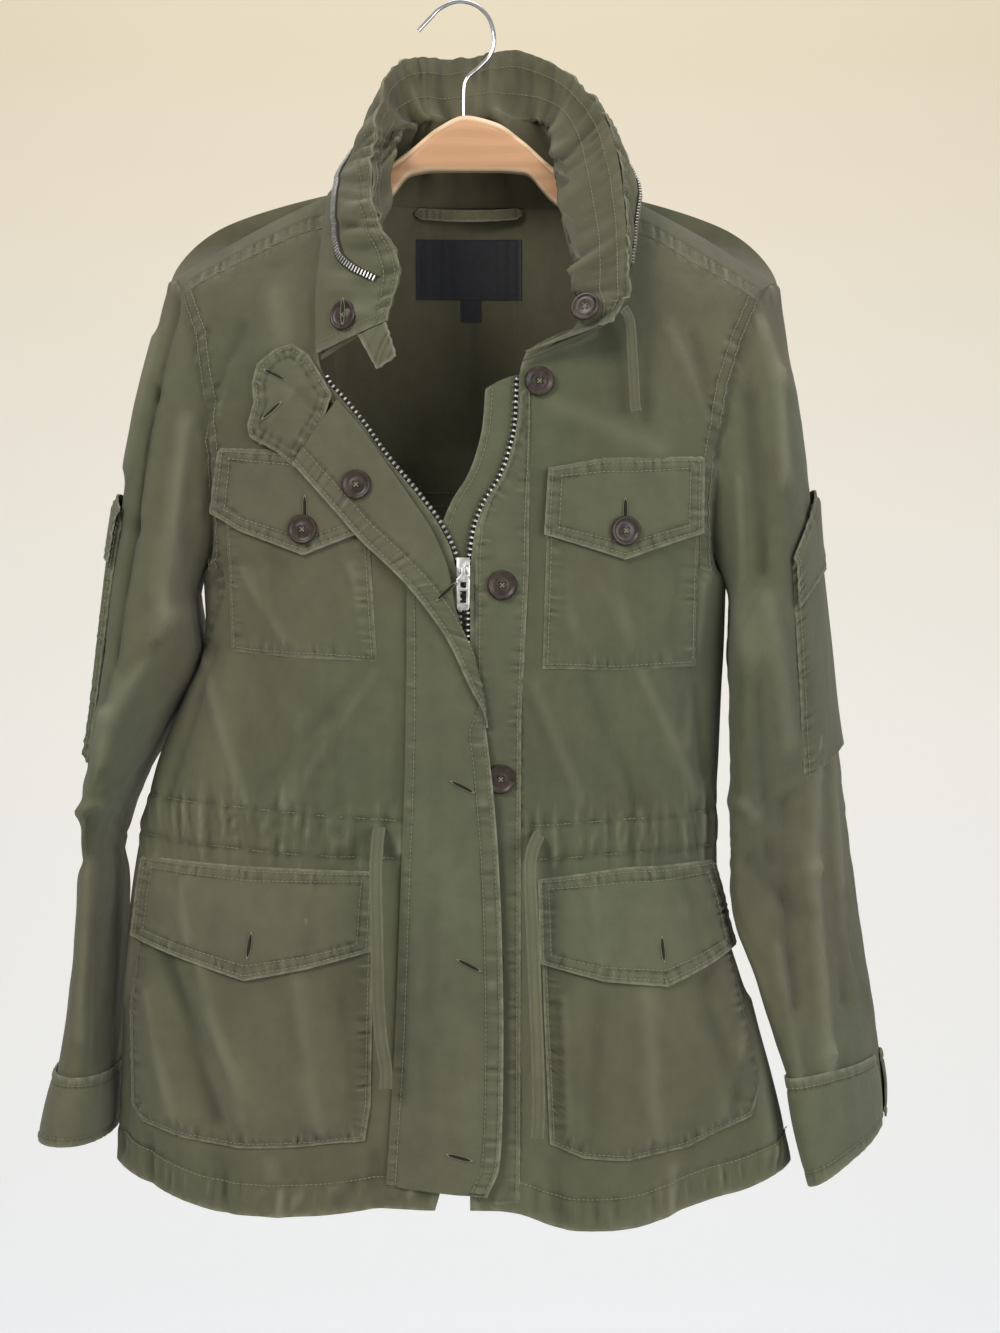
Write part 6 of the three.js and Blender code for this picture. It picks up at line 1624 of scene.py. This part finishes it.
many.relative_offset_displace = (0, 0, 0)
activate(tooth)
bpy.ops.object.modifier_apply(modifier="teeth")
frames = np.stack([heading, np.cross(facing, heading), facing], axis=1)
placed = np.einsum("vk,nkc->nvc", corners, frames) + centre[:, None] * MM
tooth.data.vertices.foreach_set("co", placed.reshape(-1).astype(np.float32))
tooth.name = tooth.data.name = "collar_zip_teeth"
finish_piece(tooth, nickel, [])

# %% [markdown]
# ## Hanger
# A bow of lacquered beech with a groove routed along its top edge, and a chrome wire hook.

# %% Hanger
beech, tree, surface = new_material("beech")
at = node(tree, "ShaderNodeTexCoord").outputs["Object"]
along = node(tree, "ShaderNodeMapping", {"Vector": at, "Scale": (6, 60, 60)}).outputs[0]
rings = node(tree, "ShaderNodeTexWave", {"Vector": along, "Scale": 0.5, "Distortion": 7.0, "Detail": 3.0},
             bands_direction="Z")
fleck = node(tree, "ShaderNodeTexNoise", {"Vector": node(tree, "ShaderNodeMapping", {
    "Vector": at, "Scale": (60, 700, 700)}).outputs[0], "Scale": 1.0, "Detail": 4.0})
grain = math_node(tree, "ADD", math_node(tree, "MULTIPLY", rings.outputs["Fac"], 0.45),
                  math_node(tree, "MULTIPLY", fleck.outputs["Fac"], 0.55))
face = ramp(tree, grain, [(0.2, (0.545, 0.295, 0.150)), (0.8, (0.625, 0.350, 0.185))])
pale = ramp(tree, grain, [(0.25, (0.68, 0.46, 0.27)), (0.75, (0.84, 0.62, 0.40))])
rim_mask = node(tree, "ShaderNodeAttribute", attribute_name="edge").outputs["Fac"]
tree.links.new(node(tree, "ShaderNodeMix", {0: rim_mask, 6: face, 7: pale}, data_type="RGBA").outputs[2],
               surface.inputs["Base Color"])
gloss = node(tree, "ShaderNodeMapRange", {"Value": fleck.outputs["Fac"], 3: 0.3, 4: 0.48})
tree.links.new(gloss.outputs[0], surface.inputs["Roughness"])
tree.links.new(node(tree, "ShaderNodeBump", {"Height": grain, "Strength": 0.15, "Distance": 0.0003}).outputs[0],
               surface.inputs["Normal"])
surface.inputs["Coat Weight"].default_value = 0.3

HANGER = table("x top bottom thick", [
    (-199, -197, -213, 5), (-190, -190, -214, 6), (-150, -167, -199, 6.5), (-110, -147.2, -176, 7),
    (-80, -131, -157, 7), (-55, -115, -140, 7.5), (-38, -103, -121, 7.5), (-20, -88, -118.5, 7.5),
    (0, -79, -118.5, 7.5), (22, -84, -118.5, 7.5), (42, -98, -120, 7.5), (60, -114, -138, 7.5),
    (90, -134, -160, 7), (120, -149.2, -180, 7), (160, -169.2, -201, 6.5), (200, -192.2, -216, 6),
    (210, -199, -215, 5)])
share, angle = grid(150, 56, 0, 1, 0, 2 * np.pi)
x = mix(-199, 210, share)
top, bottom, thick = (reader(HANGER, "x", name)(x) for name in ("top", "bottom", "thick"))
end = np.sqrt(np.clip(1 - np.abs(2 * share - 1) ** 24, 0.02, 1))
z = (top + bottom) / 2 + (top - bottom) / 2 * power(np.sin(angle), 0.55) * end
points = np.stack([x, -thick * power(np.cos(angle), 0.55) * end, z], axis=-1)
from_top = top - z
front = np.cos(angle) > 0.2
groove = -0.9 * np.exp(-((from_top - 5.2) / 0.9) ** 2) * front
lip = 0.4 * (1 - ease(z - bottom, 2.5, 4.5)) * front
pale_rim = np.clip((1 - ease(from_top, 3.6, 4.8)) + (1 - ease(z - bottom, 1.6, 3.2)), 0, 1)
out = np.stack([np.zeros(x.shape), -np.cos(angle), np.sin(angle)], axis=-1)
cloth("hanger_beech", points, out, 1.0, groove + lip, groove, pale_rim, closed=True, material=beech,
      nodes=["hanger"])
chrome, tree, surface = new_material("chrome_wire")
haze = node(tree, "ShaderNodeTexNoise", {"Scale": 120.0, "Detail": 3.0,
                                         "Vector": node(tree, "ShaderNodeTexCoord").outputs["Object"]})
tree.links.new(ramp(tree, haze.outputs["Fac"], [(0.3, (0.62, 0.63, 0.64)), (0.7, (0.80, 0.80, 0.80))]),
               surface.inputs["Base Color"])
gleam = node(tree, "ShaderNodeMapRange", {"Value": haze.outputs["Fac"], 3: 0.08, 4: 0.2})
tree.links.new(gleam.outputs[0], surface.inputs["Roughness"])
surface.inputs["Metallic"].default_value = 1.0
HOOK = [(-1, -90), (-1, -64), (1, -53), (10, -44.5), (17.5, -36), (20.5, -25), (17.5, -11.5), (10, -2.5), (0, 1.6),
        (-9, 1), (-18, -3.5), (-24.5, -10), (-33, -19)]
path, _ = smooth_path([(hx, 0, hz) for hx, hz in HOOK], 120)
wire = line_object("hook_wire", path)
wire.data.bevel_depth = 1.5 * MM
wire.data.bevel_resolution = 6
wire.data.use_fill_caps = True
activate(wire)
bpy.ops.object.convert(target="MESH")
bpy.ops.object.shade_smooth()
finish_piece(wire, chrome, ["hanger_hook"])
print("hanger made")

# %% [markdown]
# ## Stitching
# Seams are sewn with olive thread, in two rows on the felled seams. One stitch is modelled and
# arrayed along each row, which lies on the finished surface.

# %% Stitching
STITCH_PITCH = 3.2
bpy.ops.mesh.primitive_cylinder_add(vertices=5, radius=0.38 * MM, depth=2.3 * MM, rotation=(0, math.radians(90), 0))
stitch = bpy.context.object
bpy.ops.object.transform_apply(location=True, rotation=True, scale=True)
rows_of_stitches = []


def sew(points):
    """One row of stitches along points in millimetres."""
    run = np.concatenate([[0], np.cumsum(np.linalg.norm(np.diff(points, axis=0), axis=1))])
    at = np.linspace(0, run[-1], max(4, int(run[-1] / 2.5)))
    even = np.column_stack([np.interp(at, run, points[:, axis]) for axis in range(3)])
    rows_of_stitches.append(array_on_line(stitch, f"row_{len(rows_of_stitches)}", even, STITCH_PITCH))


def on_net(name, down, across, lift=0.2):
    """Points of a finished net at shares down and across it."""
    points, normals = NETS[name]
    at_j, at_i = np.asarray(down) * (points.shape[0] - 1), np.asarray(across) * (points.shape[1] - 1)
    j, i = np.clip(at_j.astype(int), 0, points.shape[0] - 2), np.clip(at_i.astype(int), 0, points.shape[1] - 2)
    a, b = (at_j - j)[:, None], (at_i - i)[:, None]
    rise = np.where(normals[..., 1:2] < 0, 1.4, -0.2) if name == "storm_flap_cloth" else lift
    both = points + normals * rise
    return mix(mix(both[j, i], both[j, i + 1], b), mix(both[j + 1, i], both[j + 1, i + 1], b), a)


def sew_border(name, inset, width, height, sides="tblr"):
    """Rows at one distance inside the border of a net of about this width and height."""
    du, dv = inset / width, inset / height
    run = np.linspace(0, 1, 160)
    rows = {"t": (np.full(160, dv), mix(du, 1 - du, run)), "b": (np.full(160, 1 - dv), mix(du, 1 - du, run)),
            "l": (mix(dv, 1 - dv, run), np.full(160, du)), "r": (mix(dv, 1 - dv, run), np.full(160, 1 - du))}
    for side in sides:
        sew(on_net(name, *rows[side]))


def sew_on_front(line, shift=0.0):
    """A row on a front along x, z corners, moved sideways by a shift."""
    corners = np.array(line, float)
    flat_line = spread(line, 200)
    direction = unit(np.gradient(flat_line, axis=0))
    flat_line = flat_line + np.stack([direction[:, 1], -direction[:, 0]], axis=-1) * shift
    x, z = flat_line[:, 0], flat_line[:, 1]
    sew(on_front(x, z, front_relief(x, z)[0] + 0.2))


for side, sign in (("left", -1), ("right", 1)):
    for inset in (3.0, 9.0):
        sew_on_front(ARM_SEAMS[side], sign * inset)
    hem_x = np.linspace(-238, -24, 60) if side == "left" else np.linspace(8, 226, 60)
    sew_on_front([(hx, float(front_hem(np.array(hx))) + HEM_STITCH - 1) for hx in hem_x])
    casing_x = np.linspace(-222, -46, 60) if side == "left" else np.linspace(46, 172, 60)
    for line in (casing_upper, casing_lower):
        sew_on_front([(cx, float(line(np.array(cx)))) for cx in casing_x])
    sew_border(f"chest_pocket_{side}_cloth", 3, 98, 130, "blr")
    sew_border(f"chest_flap_{side}_cloth", 3, 100, 60)
    sew_border(f"chest_flap_{side}_cloth", 9, 100, 60)
    sew_border(f"hip_pocket_{side}_cloth", 3, 160, 155, "blr")
    sew_border(f"hip_flap_{side}_cloth", 3, 160, 70)
    sew_border(f"hip_flap_{side}_cloth", 9, 160, 70)
    for inset in (5, 44):
        sew(on_net(f"cuff_{side}_cloth", np.full(160, inset / 50), np.linspace(0.02, 0.98, 160)))
    sew_border(f"sleeve_pocket_{side}_cloth", 3, 120, 160)
    sew_border(f"sleeve_flap_{side}_cloth", 3, 120, 45)
    for inset in (2.5, 8.5):
        sew(on_net(f"sleeve_{side}_cloth", np.linspace(0.01, 0.9, 300), np.full(300, 0.97 - inset / 260)))
for start, end in ((0.02, 0.33), (0.67, 0.98)):
    for inset in (2, 11):
        row = 1 - inset / 42 * OVER_ROWS / (UP_ROWS + OVER_ROWS)
        sew(on_net("yoke_cloth", np.full(120, row), np.linspace(start, end, 120)))
for row in (0.03, 0.1):
    sew(on_net("yoke_cloth", np.full(300, row), np.linspace(0.01, 0.99, 300)))
for row in (0.047, 0.066):  # the yoke seam's two rows, seen through the open neck
    sew(on_net("back_cloth", np.full(200, row), np.linspace(0.15, 0.85, 200), -1.9))
down = np.linspace(0.005, 0.995, 400)
points, _ = NETS["storm_flap_cloth"]
wide = np.linalg.norm(np.diff(points, axis=1), axis=2).sum(axis=1)
wide = np.interp(down, np.linspace(0, 1, len(wide)), wide)
for inset in (3, 12):
    sew(on_net("storm_flap_cloth", down, 1 - inset / wide, 0.35))
sew(on_net("storm_flap_cloth", down, 6 / wide, 0.35))
sew_border("storm_tab_cloth", 3, 50, 60)
for rim in (4, 12):
    sew(on_net("collar_cloth", np.full(600, 1 - rim / 75), np.linspace(0.01, 0.99, 600)))
    sew(on_net("collar_inside_cloth", np.full(600, 1 - rim / 75), np.linspace(0.01, 0.99, 600)))
for share in (0.012, 0.988):
    sew(on_net("collar_cloth", np.linspace(0.02, 0.98, 60), np.full(60, share)))
sew(on_net("back_cloth", np.full(300, 0.96), np.linspace(0.01, 0.99, 300)))
for row in (0.475, 0.53):
    sew(on_net("back_cloth", np.full(300, row), np.linspace(0.02, 0.98, 300)))
sew_border("button_strip_cloth", 3, 34, 545, "lr")
sew_border("wind_flap_cloth", 5, 28, 496, "r")
stitching = join(rows_of_stitches, "stitching")
stitching.data.materials.clear()
finish_piece(stitching, thread, [])
bpy.data.objects.remove(stitch)
print("stitching", len(stitching.data.polygons), "faces")

# %% [markdown]
# ## Buttonholes
# A worked buttonhole is a slit between two ridges of thread, closed by a bar at each end.

# %% Buttonholes
slit_dark, tree, surface = new_material("slit_shadow")
depths = node(tree, "ShaderNodeTexNoise", {"Scale": 500.0})
tree.links.new(ramp(tree, depths.outputs["Fac"], [(0.3, (0.010, 0.010, 0.006)), (0.7, (0.028, 0.028, 0.016))]),
               surface.inputs["Base Color"])
surface.inputs["Roughness"].default_value = 1.0
bpy.ops.mesh.primitive_torus_add(major_radius=8.5 * MM, minor_radius=0.85 * MM, major_segments=64,
                                 minor_segments=10)
loop = bpy.context.object
bpy.ops.object.mode_set(mode="EDIT")
bpy.ops.mesh.select_all(action="SELECT")
bpy.ops.transform.resize(value=(1, 0.17, 0.8), center_override=(0, 0, 0))
bpy.ops.object.mode_set(mode="OBJECT")
bpy.ops.object.shade_smooth()
bpy.ops.mesh.primitive_cube_add(size=1)
slit = bpy.context.object
bpy.ops.object.mode_set(mode="EDIT")
bpy.ops.transform.resize(value=(14.5 * MM, 1.5 * MM, 0.5 * MM), center_override=(0, 0, 0))
bpy.ops.mesh.bevel(offset=0.12 * MM, segments=1)
bpy.ops.object.mode_set(mode="OBJECT")
BUTTONHOLES = [  # net, x, z, direction of the slit in x, z
    ("storm_flap_cloth", -12, -417, (1, 0.9)), ("storm_flap_cloth", -1, -546, (1, -0.5)),
    ("storm_flap_cloth", 4, -668, (1, -0.5)), ("storm_flap_cloth", -3, -794, (1, -0.25)),
    ("storm_tab_cloth", -127, -270, (1, -0.5)), ("storm_tab_cloth", -129, -295, (1, 0.7)),
    ("chest_flap_left_cloth", -107, -360, (0, 1)), ("chest_flap_right_cloth", 108, -361, (0, 1)),
    ("hip_flap_left_cloth", -143, -653, (-0.14, -1)), ("hip_flap_right_cloth", 134, -657, (0.05, -1)),
    ("collar_cloth", -80, -229, (0, 1)),
]
for number, (net_name, x, z, along) in enumerate(BUTTONHOLES):
    points, normals = NETS[net_name]
    gap = (points[..., 0] - x) ** 2 + (points[..., 2] - z) ** 2 + np.where(points[..., 1] > 0, 1e6, 0)
    near = np.unravel_index(np.argmin(gap + points[..., 1] * 0.5), gap.shape)
    normal = normals[near] * (1 if normals[near][1] < 0 else -1)
    face = 1.2 if net_name == "storm_flap_cloth" and normals[near][1] < 0 else 0.0
    lie = np.array([along[0], 0, along[1]], float)
    lie = lie - normal * (lie @ normal)
    lie = lie / np.linalg.norm(lie)
    side_way = np.cross(normal, lie)
    turn = np.column_stack([lie, side_way, normal])
    for template, label, finish, proud in ((loop, "ridge", thread, 0.5), (slit, "slit", slit_dark, 0.35)):
        activate(template)
        bpy.ops.object.duplicate()
        copy = bpy.context.object
        copy.name = copy.data.name = f"buttonhole_{number}_{label}"
        co = np.empty(len(copy.data.vertices) * 3, np.float32)
        copy.data.vertices.foreach_get("co", co)
        placed = co.reshape(-1, 3) @ turn.T + (points[near] + normal * (face + proud)) * MM
        copy.data.vertices.foreach_set("co", placed.reshape(-1).astype(np.float32))
        finish_piece(copy, finish, [])
bpy.data.objects.remove(loop)
bpy.data.objects.remove(slit)
print("buttonholes", len(BUTTONHOLES))
